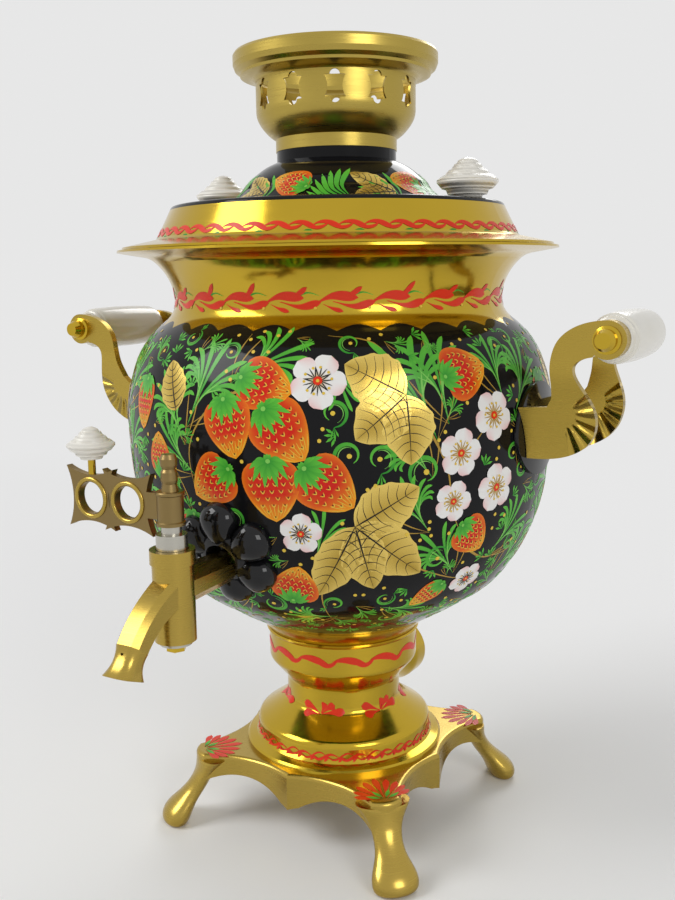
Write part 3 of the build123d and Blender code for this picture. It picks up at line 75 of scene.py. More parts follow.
# %% Shade
class Shade:
    """A number that varies from place to place; arithmetic on it adds Math nodes."""

    def __init__(self, nodes, socket):
        self.nodes = nodes
        self.socket = socket

    def math(self, operation, *others, clamp=False):
        values = dict(enumerate((self, *others)))
        made = self.nodes.node("ShaderNodeMath", values, operation=operation, use_clamp=clamp)
        return Shade(self.nodes, made.outputs[0])

    def reflected(self, operation, other):
        made = self.nodes.node("ShaderNodeMath", {0: other, 1: self}, operation=operation)
        return Shade(self.nodes, made.outputs[0])

    def __add__(self, other):
        return self.math("ADD", other)

    __radd__ = __add__

    def __mul__(self, other):
        return self.math("MULTIPLY", other)

    __rmul__ = __mul__

    def __sub__(self, other):
        return self.math("SUBTRACT", other)

    def __rsub__(self, other):
        return self.reflected("SUBTRACT", other)

    def __truediv__(self, other):
        return self.math("DIVIDE", other)

    def __pow__(self, other):
        return self.math("POWER", other)

    def above(self, other):
        return self.math("GREATER_THAN", other)

    def below(self, other):
        return self.math("LESS_THAN", other)

    def sine(self):
        return self.math("SINE")

    def size(self):
        return self.math("ABSOLUTE")

    def larger(self, other):
        return self.math("MAXIMUM", other)

    def limited(self):
        """Kept between 0 and 1."""
        return self.math("ADD", 0.0, clamp=True)


print("a Shade can be:", ", ".join(name for name in vars(Shade) if not name.startswith("_")))

# %% [markdown]
# All other nodes come from one method, which sets a node up in the order that Blender needs: first its
# settings, because they can change its sockets, then the values and links of the sockets.

# %% Nodes
class Nodes:
    """A node tree, and the one way in which its nodes are made."""

    def __init__(self, tree):
        self.tree = tree
        tree.nodes.clear()

    def node(self, kind, sockets=None, **settings):
        made = self.tree.nodes.new(kind)
        for name, value in settings.items():
            setattr(made, name, value)
        for name, value in (sockets or {}).items():
            self.feed(made.inputs[name], value)
        return made

    def feed(self, socket, value):
        """Links a socket, or gives it a value of its own."""
        if isinstance(value, Shade):
            value = value.socket
        if isinstance(value, bpy.types.NodeSocket):
            self.tree.links.new(value, socket)
        elif isinstance(value, tuple):
            socket.default_value = (*value, 1.0)[: len(socket.default_value)]
        else:
            socket.default_value = value

    def parts(self, vector):
        """X, Y and Z of a vector."""
        split = self.node("ShaderNodeSeparateXYZ", {0: vector})
        return [Shade(self, socket) for socket in split.outputs]


print("settings first, then sockets")

# %% [markdown]
# A finish is a `Recipe`: one Principled shader with what varies plugged into it. Patterns are read in
# Object coordinates, because every piece lies in the samovar's own frame, so a pattern runs on from one
# piece to the next and keeps its place when a joint moves.

# %% Recipe
COAT_ROUGHNESS = 0.06


class Recipe(Nodes):
    """One node-based material."""

    def __init__(self, name, colour, roughness, metallic=0.0, coat=0.0, specular=0.5):
        self.material = bpy.data.materials.new(name)
        self.material.use_nodes = True
        super().__init__(self.material.node_tree)
        self.shader = self.node("ShaderNodeBsdfPrincipled", {
            "Base Color": colour,
            "Roughness": roughness,
            "Metallic": metallic,
            "Coat Weight": coat,
            "Coat Roughness": COAT_ROUGHNESS,
            "Specular IOR Level": specular,
        })
        self.output = self.node("ShaderNodeOutputMaterial", {"Surface": self.shader.outputs[0]})

    def set(self, name, value):
        self.feed(self.shader.inputs[name], value)

    def place(self):
        """X, Y and Z of the surface point, in millimetres."""
        coordinates = self.node("ShaderNodeTexCoord")
        return [part / MM for part in self.parts(coordinates.outputs["Object"])]

    def across(self):
        """The two painting coordinates that a stroke's mesh carries, each from 0 to 1."""
        return self.parts(self.node("ShaderNodeUVMap", uv_map="brush").outputs[0])[:2]

    def noise(self, scale, detail, stretch=(1.0, 1.0, 1.0)):
        """Noise from 0 to 1, with scale in features per metre."""
        spot = self.node("ShaderNodeTexCoord").outputs["Object"]
        spot = self.node("ShaderNodeMapping", {"Vector": spot, "Scale": stretch}).outputs[0]
        texture = self.node("ShaderNodeTexNoise", {"Vector": spot, "Scale": scale, "Detail": detail})
        return Shade(self, texture.outputs["Fac"])

    def mix(self, factor, first, second):
        """A colour between first and second. The three sockets are the factor's and the two colours'."""
        return self.node("ShaderNodeMix", {0: factor, 6: first, 7: second}, data_type="RGBA").outputs[2]

    def bump(self, height, strength, distance):
        values = {"Height": height, "Strength": strength, "Distance": distance * MM}
        self.set("Normal", self.node("ShaderNodeBump", values).outputs[0])


print("a Recipe has:", ", ".join(name for name in vars(Recipe) if not name.startswith("_")))

# %% [markdown]
# ## Meshes
# A turned piece is an outline in the plane of radius and height, spun round its axis. A Screw modifier
# could do it, but the sums are short and leave no modifier to apply.

# %% Outlines and turned pieces
def curve(points, steps):
    """A smooth line through the points."""
    ends = [2 * Vector(points[0]) - Vector(points[1])]
    ends += [Vector(p) for p in points]
    ends += [2 * Vector(points[-1]) - Vector(points[-2])]
    line = []
    for index in range(1, len(ends) - 2):
        before, start, stop, after = ends[index - 1 : index + 3]
        steps_between = ((before, start), (start, stop), (stop, after))
        first, middle, last = [max((b - a).length, 1e-6) ** 0.5 for a, b in steps_between]
        way = stop - start
        leave = ((start - before) / first - (stop - before) / (first + middle)) * middle + way
        reach = ((after - stop) / last - (after - start) / (middle + last)) * middle + way
        for step in range(steps):
            t = step / steps
            line.append(
                start * (2 * t**3 - 3 * t**2 + 1)
                + leave * (t**3 - 2 * t**2 + t)
                + stop * (3 * t**2 - 2 * t**3)
                + reach * (t**3 - t**2)
            )
    return line + [ends[-2]]


def spun(outline, turns):
    """Vertices and faces of a closed outline spun round the upright axis."""
    verts, faces = [], []
    for radius, height in outline:
        for turn in range(turns):
            angle = 2 * math.pi * turn / turns
            verts.append((radius * math.cos(angle), radius * math.sin(angle), height))
    for row in range(len(outline)):
        low, high = row * turns, (row + 1) % len(outline) * turns
        for turn in range(turns):
            after = (turn + 1) % turns
            faces.append([low + turn, low + after, high + after, high + turn])
    return verts, faces


SHARP = 48                             # degrees between two faces, from which their edge stays sharp
SAME_SPOT = 1e-6                       # metres between two vertices that are merged


def linked(name, mesh):
    """An object in the scene, at the origin."""
    made = bpy.data.objects.new(name, mesh)
    bpy.context.scene.collection.objects.link(made)
    return made


def smoothed(mesh, sharp):
    mesh.shade_smooth()
    mesh.set_sharp_from_angle(angle=math.radians(sharp))


def piece(name, verts, faces, body, finish, stands_for=(), sharp=SHARP):
    """A finished piece from vertices in millimetres: closed, facing outwards, riding on its body."""
    mesh = bpy.data.meshes.new(name)
    mesh.from_pydata([Vector(v) * MM for v in verts], [], faces)
    mesh.materials.append(finish.material)
    form = bmesh.new()
    form.from_mesh(mesh)
    bmesh.ops.remove_doubles(form, verts=form.verts, dist=SAME_SPOT)
    bmesh.ops.recalc_face_normals(form, faces=form.faces)
    form.to_mesh(mesh)
    form.free()
    smoothed(mesh, sharp)
    made = linked(name, mesh)
    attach(made, body)
    if stands_for:
        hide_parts(*stands_for)


def plain(made, sharp=SHARP):
    """Turns what an object's modifiers make into its own mesh, smooth but for its sharp edges."""
    graph = bpy.context.evaluated_depsgraph_get()
    mesh = bpy.data.meshes.new_from_object(made.evaluated_get(graph))
    made.modifiers.clear()
    made.data = mesh
    smoothed(mesh, sharp)


print("edges sharper than", SHARP, "degrees stay sharp")

# %% [markdown]
# ## Finishes
# The vessel, lid and pedestal are spun brass, the tap, arms and base cast brass. Both are the same shader
# with another colour and gloss. Noise that is stretched round the axis stands for the marks of the lathe;
# an even roughness would look like plastic.

# %% Metals
LATHE = (1.0, 1.0, 24.0)               # how the noise of the turning marks is stretched
MARKS, CLOUDS = 60, 16                 # features per metre of those marks, and of the uneven tone


def toned(colour, share):
    """A colour made darker or paler."""
    return tuple(min(c * share, 1.0) for c in colour)


def metal(name, colour, roughness, streaks):
    """A metal with faint turning marks and slightly uneven tone."""
    recipe = Recipe(name, colour, roughness, metallic=1.0)
    recipe.set("Base Color", recipe.mix(recipe.noise(CLOUDS, 4), toned(colour, 0.8), toned(colour, 1.12)))
    recipe.set("Roughness", (recipe.noise(MARKS, 3, LATHE) - 0.5) * streaks + roughness)
    return recipe


GOLD = (0.57, 0.385, 0.036)
polished = metal("polished_brass", GOLD, 0.15, 0.12)
satin = metal("satin_brass", (0.46, 0.34, 0.075), 0.30, 0.22)
olive = metal("cast_brass", (0.47, 0.33, 0.07), 0.26, 0.16)
dark = metal("dark_brass", (0.27, 0.19, 0.075), 0.36, 0.2)
nickel = metal("nickelled", (0.52, 0.50, 0.44), 0.24, 0.15)
steel = metal("steel", (0.56, 0.57, 0.58), 0.3, 0.1)
contact = metal("pins", (0.66, 0.62, 0.5), 0.22, 0.1)
metals = (polished, satin, olive, dark, nickel, steel, contact)
print("metals:", ", ".join(made.material.name.split(".")[0] for made in metals))

# %% [markdown]
# The grips and knobs are an ivory-coloured plastic. The knobs are turned in fine rings, too many and too
# shallow to model one by one, so a sine of the height raises them in a Bump node.

# %% Lacquer, ivory, rubber and the rest
BLACK = (0.006, 0.006, 0.007)
LACQUER_ROUGHNESS = 0.08
lacquer = Recipe("black_lacquer", BLACK, LACQUER_ROUGHNESS, specular=0.35)
ivory = Recipe("ivory", (0.80, 0.77, 0.68), 0.22, coat=0.4)
ivory.set("Base Color", ivory.mix(ivory.noise(40, 3), (0.72, 0.68, 0.57), (0.84, 0.82, 0.75)))
knob_ivory = Recipe("turned_ivory", (0.88, 0.85, 0.77), 0.25, coat=0.3)
RING_PITCH = 2.6                       # height of one turned ring of a knob
knob_ivory.bump((knob_ivory.place()[2] * (2 * math.pi / RING_PITCH)).sine(), 0.55, 0.6)
rubber = Recipe("rubber", (0.06, 0.06, 0.06), 0.7)
sleeving = Recipe("insulation", (0.72, 0.70, 0.64), 0.6)
moulding = Recipe("block", (0.09, 0.075, 0.065), 0.45)
print("knob rings every", RING_PITCH, "mm")

# %% [markdown]
# The black lacquer lies on the brass between two heights of the vessel, with a scalloped upper edge, and
# on top of the lid. It could be a shell of its own, but a film of paint has no thickness that shows. One
# material with a mask is closer: metal where the mask is 0, lacquer where it is 1. The inner side of the
# wall has the same heights and stays brass, so the mask also asks which way the surface faces.

# %% Lacquered brass
body_low, body_high = span("body_shell")
lid_low, lid_high = span("lid")
GROUND_LOW = body_low.z + 8.4          # black ground of the vessel, without its scallops
GROUND_HIGH = body_low.z + 147.0
SCALLOPS = 30
SCALLOP_RISE = 2.4
LID_GROUND = lid_low.z + 17.2          # black from here up
UPWARDS = 30.0                         # how much a face that looks up counts as an outer one


def lacquered(name, ground):
    """Brass with a black ground where ground(recipe, x, y, z) is 1, on the outer side only."""
    recipe = Recipe(name, GOLD, 0.14, specular=0.16)
    x, y, z = recipe.place()
    out_x, out_y, out_z = recipe.parts(recipe.node("ShaderNodeNewGeometry").outputs["Normal"])
    outwards = (out_x * x + out_y * y + out_z * UPWARDS).above(0.0)
    black = ground(recipe, x, y, z) * outwards
    brass = recipe.mix(recipe.noise(CLOUDS, 4), toned(GOLD, 0.8), toned(GOLD, 1.1))
    streaks = recipe.noise(MARKS, 3, LATHE) * 0.1 + 0.02
    recipe.set("Base Color", recipe.mix(black, brass, BLACK))
    recipe.set("Metallic", 1.0 - black)
    recipe.set("Roughness", (1.0 - black) * streaks + LACQUER_ROUGHNESS)
    return recipe


def vessel_ground(recipe, x, y, z):
    azimuth = y.math("ARCTAN2", x)
    edge = (azimuth * (SCALLOPS / 2)).sine().size() * SCALLOP_RISE + GROUND_HIGH
    return z.above(GROUND_LOW) * z.below(edge)


def lid_ground(recipe, x, y, z):
    return z.above(LID_GROUND)


painted_vessel = lacquered("painted_vessel", vessel_ground)
painted_lid = lacquered("painted_lid", lid_ground)
print("black from", round(GROUND_LOW, 1), "to", round(GROUND_HIGH, 1), "mm")

# %% [markdown]
# The cast arms have a fan of grooves round their outer bend. They run out from one point, so the angle
# round that point drives a sine, and the sine a Bump node.

# %% Arms with a fan
FAN_X, FAN_Z = 116.5, 206.0            # middle of the bend
FAN_NEAR, FAN_FADE = 5.5, 3.0          # where the grooves start, and how far they take to full depth
FAN_FIRST, FAN_LAST = -1.5, 0.75       # directions of the first and the last groove, in radians
FAN_GROOVES = 15.0                     # grooves that a whole turn would hold
fanned = metal("arm_brass", (0.47, 0.33, 0.06), 0.26, 0.14)
x, y, z = fanned.place()
out, up = x.size() - FAN_X, z - FAN_Z
ray = up.math("ARCTAN2", out)
deep = (((out * out + up * up) ** 0.5 - FAN_NEAR) / FAN_FADE).limited()
on_bend = deep * ray.above(FAN_FIRST) * ray.below(FAN_LAST)
fanned.bump((ray * FAN_GROOVES).sine() * on_bend, 0.9, 1.1)
print("fan round", FAN_X, FAN_Z)

# %% [markdown]
# Each CAD node names its material slot. A slot gives the finish, unless the node has one of its own.

# %% Which piece has which finish
by_slot = {
    "polished_brass": polished,
    "satin_brass": satin,
    "dark_brass": dark,
    "nickelled": nickel,
    "steel": steel,
    "pins": contact,
    "black_lacquer": lacquer,
    "ivory": ivory,
    "rubber": rubber,
    "insulation": sleeving,
    "block": moulding,
}
by_node = {"body_shell": painted_vessel, "lid": painted_lid, "tap_body": olive, "base": olive}
by_node.update(dict.fromkeys(("lid_knob_left", "lid_knob_right", "key_knob"), knob_ivory))
for entry in frame["record"]["subparts"]:
    node = entry["node"]
    finish = by_node.get(node, by_slot[entry["material_slot"]])
    if node.startswith("handle_arm"):
        finish = fanned
    made = frame["nodes"][node]
    made.data.materials.clear()
    made.data.materials.append(finish.material)
print("finishes:", len(by_slot) + len(by_node) + 1)

# %% [markdown]
# ## Surfaces to paint on
# The painting follows the swell of the vessel and the dome of the lid. It could be an image wrapped round
# them, but strokes of real paint stay sharp at any distance. They need to know where the surface is, so
# rays read each turned piece's outline off the packed model, and a `Skin` turns an azimuth, a way along
# that outline and a lift into a point.

# %% Skin
trees = {}


def hit(node, start, direction):
    """Where a ray first meets a CAD node, in millimetres."""
    if node not in trees:
        mesh = frame["nodes"][node].data
        corners = [v.co.copy() for v in mesh.vertices]
        trees[node] = BVHTree.FromPolygons(corners, [tuple(p.vertices) for p in mesh.polygons])
    found = trees[node].ray_cast(Vector(start) * MM, Vector(direction))
    return found[0] / MM if found[0] is not None else None


RAY_TURN = math.radians(52)            # an azimuth that no handle, knob, tap or leg crosses
RAY_WAY = Vector((math.sin(RAY_TURN), -math.cos(RAY_TURN), 0))
BESIDE, ABOVE = 300.0, 500.0           # where the rays start, outside every piece


def side_outline(node, low, high, step=1.5):
    """(radius, height) up the side of a node."""
    count = max(2, round((high - low) / step))
    line = []
    for index in range(count + 1):
        z = low + (high - low) * index / count
        spot = hit(node, RAY_WAY * BESIDE + Vector((0, 0, z)), -RAY_WAY)
        if spot:
            line.append((math.hypot(spot.x, spot.y), spot.z))
    return line


def top_outline(node, outer, inner, step=1.5):
    """(radius, height) over the top of a node, from outer to inner radius."""
    count = max(2, round((outer - inner) / step))
    line = []
    for index in range(count + 1):
        radius = outer + (inner - outer) * index / count
        spot = hit(node, RAY_WAY * radius + Vector((0, 0, ABOVE)), (0, 0, -1))
        if spot:
            line.append((radius, spot.z))
    return line


class Skin:
    """A turned surface, from its outline of (radius, height) points that run up its outside."""

    def __init__(self, outline):
        self.outline = [Vector(p) for p in outline]
        self.along = [0.0]
        for start, stop in zip(self.outline, self.outline[1:]):
            self.along.append(self.along[-1] + (stop - start).length)

    def at_height(self, height):
        """How far along the outline a height lies."""
        return self.along[min(range(len(self.outline)), key=lambda i: abs(self.outline[i].y - height))]

    def at_radius(self, radius):
        """How far along the outline a radius lies."""
        return self.along[min(range(len(self.outline)), key=lambda i: abs(self.outline[i].x - radius))]

    def spot(self, along):
        """The outline's point, and its outward direction, that far along it."""
        index = 0
        while index < len(self.along) - 2 and self.along[index + 1] < along:
            index += 1
        start, stop = self.outline[index], self.outline[index + 1]
        share = (along - self.along[index]) / max(self.along[index + 1] - self.along[index], 1e-6)
        slope = (stop - start).normalized()
        return start + (stop - start) * share, Vector((slope.y, -slope.x))

    def point(self, azimuth, along, lift):
        """A point over the surface. The azimuth is in degrees."""
        flat, out = self.spot(along)
        flat = flat + out * lift
        angle = math.radians(azimuth)
        return Vector((flat.x * math.sin(angle), -flat.x * math.cos(angle), flat.y))


vessel_skin = Skin(side_outline("body_shell", body_low.z + 1, body_high.z - 5))
dome_skin = Skin(top_outline("lid", 58, 28))
band_skin = Skin(side_outline("lid", lid_low.z + 4.6, lid_low.z + 16.6, 1.0))
brim_skin = Skin(top_outline("body_shell", 100.2, 97.9, 0.5))
pedestal_low, pedestal_high = span("pedestal")
stem_skin = Skin(side_outline("pedestal", pedestal_low.z + 4, pedestal_high.z - 0.6, 1.0))
base_top = span("base")[1].z
PLATE_EDGE = 84.0                      # radius at which the base's flat corners are read
plate_skin = Skin([(PLATE_EDGE, base_top), (40, base_top)])
print("outline points:", len(vessel_skin.outline), len(dome_skin.outline), len(stem_skin.outline))

# %% [markdown]
# ## The brush
# Each dab of paint is a flake: a grid of points in millimetres round a place on a skin, x to the right and
# y up, as a painter sees it. A Solidify modifier gives the flakes their thickness and closes them. The
# dabs of one colour on one body become one piece, since thousands of objects would be slow to handle.

# %% Brush
PAINT = 0.05                           # thickness of a dab
MARGIN = 0.05                          # what a dab keeps from the ends of its skin
HAIRLINE = 0.12                        # narrowest stroke
NARROWEST_HALF = 0.05                  # of a filled shape, at its ends

# How far each kind of stroke lies over the surface: what is painted later lies higher.
STEM_LIFT, VINE_LIFT, BLADE_LIFT, SHOOT_LIFT, RIB_LIFT = 0.08, 0.09, 0.10, 0.11, 0.125
LEAF_LIFT, VEIN_LIFT, BERRY_LIFT, PETAL_LIFT = 0.14, 0.20, 0.22, 0.24
SEED_LIFT, CROWN_LIFT, CALYX_LIFT, STAMEN_LIFT = 0.28, 0.30, 0.33, 0.34
POLLEN_LIFT, HEART_LIFT, EYE_LIFT = 0.38, 0.42, 0.46


class Brush:
    """Lays dabs on one skin and gathers them by colour."""

    def __init__(self, skin, body):
        self.skin = skin
        self.body = body
        self.dabs = {}
        self.spots = []

    def go(self, azimuth, height=None, turn=0.0, along=None):
        """Moves the brush's origin; turn is in degrees, counter-clockwise."""
        self.azimuth = azimuth
        self.along = self.skin.at_height(height) if along is None else along
        self.radius = max(self.skin.spot(self.along)[0].x, 1.0)
        self.cosine, self.sine = math.cos(math.radians(turn)), math.sin(math.radians(turn))

    def way_to(self, start, stop):
        """The way from one (azimuth, height) to another, in millimetres to the right and up."""
        right = math.radians(stop[0] - start[0]) * self.radius
        return Vector((right, self.skin.at_height(stop[1]) - self.skin.at_height(start[1])))

    def patch(self, colour, lift, rows):
        """Rows of points (x, y, u, v) become a grid."""
        verts, faces, marks = self.dabs.setdefault(colour, ([], [], []))
        first = len(verts)
        width = len(rows[0])
        flat = []
        for row in rows:
            for x, y, u, v in row:
                right = x * self.cosine - y * self.sine
                up = x * self.sine + y * self.cosine
                along = min(max(self.along + up, MARGIN), self.skin.along[-1] - MARGIN)
                radius = max(self.skin.spot(along)[0].x, 1.0)
                verts.append(self.skin.point(self.azimuth + math.degrees(right / radius), along, lift))
                marks.append((u, v))
                flat.append(Vector((right, up)))
        lean = sum(
            (flat[i + 1] - flat[i]).cross(flat[i + width] - flat[i])
            for i in range(len(flat) - width)
            if (i + 1) % width
        )
        for row in range(len(rows) - 1):
            for column in range(width - 1):
                corner = first + row * width + column
                face = [corner, corner + 1, corner + 1 + width, corner + width]
                faces.append(face if lean > 0 else face[::-1])

    def stroke(self, colour, points, width, shape, lift, steps):
        """A stroke along a smooth line through the points."""
        if len(points) > 2:
            line = curve(points, steps)
        else:
            start, stop = (Vector(p) for p in points)
            line = [start.lerp(stop, step / steps) for step in range(steps + 1)]
        rows = []
        for place, spot in enumerate(line):
            t = place / (len(line) - 1)
            heading = (line[min(place + 1, len(line) - 1)] - line[max(place - 1, 0)]).normalized()
            across = Vector((-heading.y, heading.x))
            half = max(width * SHAPES[shape](t), HAIRLINE) / 2
            rows.append([(*(spot + across * half * side), (side + 1) / 2, t) for side in (-1, 1)])
        self.patch(colour, lift, rows)

    def wave(self, colour, along, swing, periods, width, lift=0.1, start=0.0):
        """A line that waves all the way round, swelling where it climbs."""
        self.go(0, along=along)
        rows = []
        steps = periods * 10
        for step in range(steps + 1):
            turn = 2 * math.pi * (step / steps * periods + start)
            x = self.radius * 2 * math.pi * step / steps
            half = width * (0.62 + 0.38 * math.cos(turn)) / 2
            y = swing * math.sin(turn)
            rows.append([(x, y + half * side, (side + 1) / 2, 0.5) for side in (-1, 1)])
        self.patch(colour, lift, rows)

    def filled(self, colour, half_width, start, stop, lift, rows, columns):
        """A filled shape along the line from start to stop, half as wide at t as half_width(t)."""
        start, stop = Vector(start), Vector(stop)
        heading = (stop - start).normalized()
        across = Vector((heading.y, -heading.x))
        grid = []
        for row in range(rows + 1):
            t = row / rows
            half = max(half_width(t), NARROWEST_HALF)
            middle = start.lerp(stop, t)
            grid.append(
                [
                    (*(middle + across * half * (2 * c / columns - 1)), c / columns, t)
                    for c in range(columns + 1)
                ]
            )
        self.patch(colour, lift, grid)

    def dot(self, colour, x, y, radius, lift=0.2):
        self.filled(
            colour,
            lambda t: radius * math.sqrt(max(1 - (2 * t - 1) ** 2, 0)),
            (x, y - radius),
            (x, y + radius),
            lift,
            rows=6,
            columns=2,
        )

    def taken(self, azimuth, height, radius):
        """Whether a motif already lies there."""
        here = self.skin.point(azimuth, self.skin.at_height(height), 0)
        return any((here - spot).length < radius + size for spot, size in self.spots)

    def claim(self, azimuth, height, radius):
        self.spots.append((self.skin.point(azimuth, self.skin.at_height(height), 0), radius))

    def finish(self, prefix):
        """Makes one piece of each colour."""
        for colour, (verts, faces, marks) in self.dabs.items():
            mesh = bpy.data.meshes.new(f"{prefix}_{colour.material.name}")
            mesh.from_pydata([v * MM for v in verts], [], faces)
            layer = mesh.uv_layers.new(name="brush")
            for corner in mesh.loops:
                layer.data[corner.index].uv = marks[corner.vertex_index]
            mesh.materials.append(colour.material)
            made = linked(mesh.name, mesh)
            flake = made.modifiers.new("thickness", "SOLIDIFY")
            flake.thickness = PAINT * MM
            flake.offset = -1.0
            plain(made, sharp=40)
            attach(made, self.body)


print("a dab is", PAINT, "mm thick")

# %% [markdown]
# A stroke of a pointed brush is thin where the brush lands, swells as it is pressed down and thins out
# where it is lifted. Each entry gives the width along the stroke, from 0 to 1, as a share of the widest.

# %% Shapes of a stroke
def swelling(t, bend, power):
    """0 at both ends and 1 where t to the power of bend is a half."""
    return max(math.sin(math.pi * t**bend), 0.0) ** power


SHAPES = {
    "plume": lambda t: 0.10 + 0.90 * swelling(t, 2.3, 0.8) if t < 1 else 0.0,
    "crescent": lambda t: 0.16 + 0.84 * swelling(t, 0.8, 1.0) if t < 1 else 0.0,
    "blade": lambda t: swelling(min(max(t, 0.01), 0.99), 1.35, 1.0),
    "comma": lambda t: min(1.0, t / 0.18 + 0.2) * (1 - t) ** 0.75,
    "leaf": lambda t: swelling(min(max(t, 0.001), 0.999), 1.0, 0.8),
    "line": lambda t: min(1.0, t * 8 + 0.3, (1 - t) * 8 + 0.2),
}
print("shapes:", ", ".join(SHAPES))

# %% [markdown]
# Berries, leaves and petals are shaded from one colour into another across the stroke. The brush leaves
# its own coordinates on the mesh, so a paint can ask how far across and along the stroke a point lies.

# %% Paints
def paint(name, colour, roughness=0.3, metallic=0.0, shaded=None):
    """A paint; shaded(recipe, u, v) gives its colour where it isn't even."""
    recipe = Recipe(name, colour, roughness, metallic=metallic, coat=0.05, specular=0.25)
    if shaded:
        recipe.set("Base Color", shaded(recipe, *recipe.across()))
    return recipe


def berry_tone(recipe, u, v):
    side = ((u - 0.5).size() * 2.0) ** 4.0
    tip = (v * 2.2 - 1.25).limited()
    warm = (side * 0.45 + tip * 0.9 + (recipe.noise(240, 2) - 0.5) * 0.2).limited()
    return recipe.mix(warm, (0.66, 0.010, 0.002), (0.96, 0.40, 0.012))


def leaf_tone(recipe, u, v):
    glow = ((u - 0.5).size() * 1.5 + recipe.noise(90, 2) * 0.4).limited()
    return recipe.mix(glow, (0.42, 0.27, 0.035), (0.84, 0.62, 0.16))


def petal_tone(recipe, u, v):
    edge = ((u - 0.45).limited() * 1.3 * (v * 1.6 - 0.5).limited()).limited()
    heart = (1.0 - v * 3.2).limited()
    pinked = recipe.mix(edge, (0.88, 0.87, 0.85), (0.86, 0.34, 0.34))
    return recipe.mix(heart, pinked, (0.62, 0.42, 0.10))


def green_tone(recipe, u, v):
    return recipe.mix(v, (0.020, 0.28, 0.022), (0.13, 0.56, 0.045))


red = paint("paint_red", (0.78, 0.035, 0.008))
berry_red = paint("paint_berry", (0.7, 0.05, 0.02), shaded=berry_tone)
green = paint("paint_green", (0.03, 0.32, 0.035), shaded=green_tone)
pale_green = paint("paint_pale_green", (0.22, 0.60, 0.10))
ochre = paint("paint_ochre", (0.46, 0.28, 0.04))
yellow = paint("paint_yellow", (0.80, 0.56, 0.06))
white = paint("paint_white", (0.86, 0.85, 0.82), shaded=petal_tone)
ink = paint("paint_ink", (0.010, 0.008, 0.006))
gilding = paint("paint_gilding", (0.8, 0.55, 0.12), 0.24, 0.85, shaded=leaf_tone)
paints = (red, berry_red, green, pale_green, ochre, yellow, white, ink, gilding)
print("paints:", ", ".join(made.material.name for made in paints))

# %% [markdown]
# ## Motifs
# Folk painters build everything from single strokes, and so do these functions: each draws one motif in
# its own millimetres, the tip of a berry downwards. What lies on top gets a little more lift, so that
# no two flakes share a plane and flicker. First the strawberry, with its seeds and a drooping calyx.

# %% Berry
def aimed(degrees):
    """The direction that many degrees counter-clockwise of straight down."""
    angle = math.radians(degrees)
    return Vector((math.sin(angle), -math.cos(angle)))


SEED_ROWS = ((0.30, 5), (0.41, 6), (0.52, 5), (0.63, 4), (0.74, 3), (0.84, 2), (0.93, 1))
LEAFLETS, LEAFLET_TURN = 13, 18        # of the calyx, and the degrees between them


def berry(brush, length, width):
    """A strawberry: body, seeds and a calyx that droops over it."""
    def half(t):
        return width / 2 * math.sin(math.pi * t**0.62) ** 0.62 if 0 < t < 1 else 0.0

    brush.filled(berry_red, half, (0, length * 0.46), (0, -length * 0.5), BERRY_LIFT, rows=14, columns=8)
    for t, count in SEED_ROWS:
        for column in range(count):
            x = half(t) * 0.86 * (2 * (column + 0.5) / count - 1)
            y = length * (0.46 - 0.96 * t)
            hook = [(x - 0.95, y + 0.75), (x, y - 0.6), (x + 0.95, y + 0.75)]
            brush.stroke(yellow, hook, 0.42, "line", SEED_LIFT, 2)
            brush.stroke(ink, [(x, y + 0.7), (x, y - 0.1)], 0.5, "leaf", SEED_LIFT, 2)
    top = Vector((0, length * 0.42))
    for place in range(LEAFLETS):
        lean = (place - LEAFLETS // 2) * LEAFLET_TURN
        reach = length * (0.40 if place % 2 else 0.28) * (1.0 if abs(lean) < 90 else 0.8)
        line = [top, top + aimed(lean) * reach * 0.5, top + aimed(lean * 0.8) * reach]
        brush.stroke(green, line, length * 0.075, "blade", CALYX_LIFT + 0.004 * place, 4)
    # Fine yellow lines run up from the tip.
    for place in range(9):
        x = (place - 4) / 4
        low, high = (x * half(0.90) * 0.9, -length * 0.41), (x * half(0.72) * 0.9, -length * 0.24)
        brush.stroke(yellow, [high, low], 0.3, "line", SEED_LIFT, 2)
    for lean in (155, 180, 205):
        brush.stroke(green, [top, top + aimed(lean) * length * 0.11], length * 0.07, "blade", CROWN_LIFT, 3)
    brush.dot(pale_green, *top, length * 0.035, HEART_LIFT)


print("seeds on a berry:", sum(count for _, count in SEED_ROWS), "leaflets:", LEAFLETS)

# %% [markdown]
# The flower has five broad petals that overlap in turn, fine stamens and a heart.

# %% Flower
FLOWER_PETALS = 5


def flower(brush, radius, stamens):
    """Petals, stamens and a heart."""
    for petal in range(FLOWER_PETALS):
        way = aimed(petal * 360 / FLOWER_PETALS)
        side = Vector((-way.y, way.x))

        def half(t):
            return radius * 0.43 * math.sin(math.pi * t**1.5) ** 0.5 if 0 < t < 1 else 0.0

        lift = PETAL_LIFT + petal * 0.012
        brush.filled(white, half, way * radius * 0.06, way * radius, lift, rows=9, columns=6)
        for spread in (-0.3, -0.1, 0.1, 0.3):
            stop = way * radius * (0.56 - abs(spread) * 0.5) + side * radius * spread
            brush.stroke(stamens, [way * radius * 0.1, stop], radius * 0.04, "line", STAMEN_LIFT, 3)
        for out, beside in ((0.46, 0.13), (0.42, -0.2)):
            brush.dot(yellow, *(way * radius * out + side * radius * beside), radius * 0.05, POLLEN_LIFT)
    brush.dot(red, 0, 0, radius * 0.16, HEART_LIFT)
    brush.dot(yellow, 0, 0, radius * 0.06, EYE_LIFT)


print("petals of a flower:", FLOWER_PETALS)

# %% [markdown]
# The gilded leaf has a scalloped edge and black veins, thinner towards the edge.

# %% Leaf
TEETH, VEIN_PAIRS = 5, 7


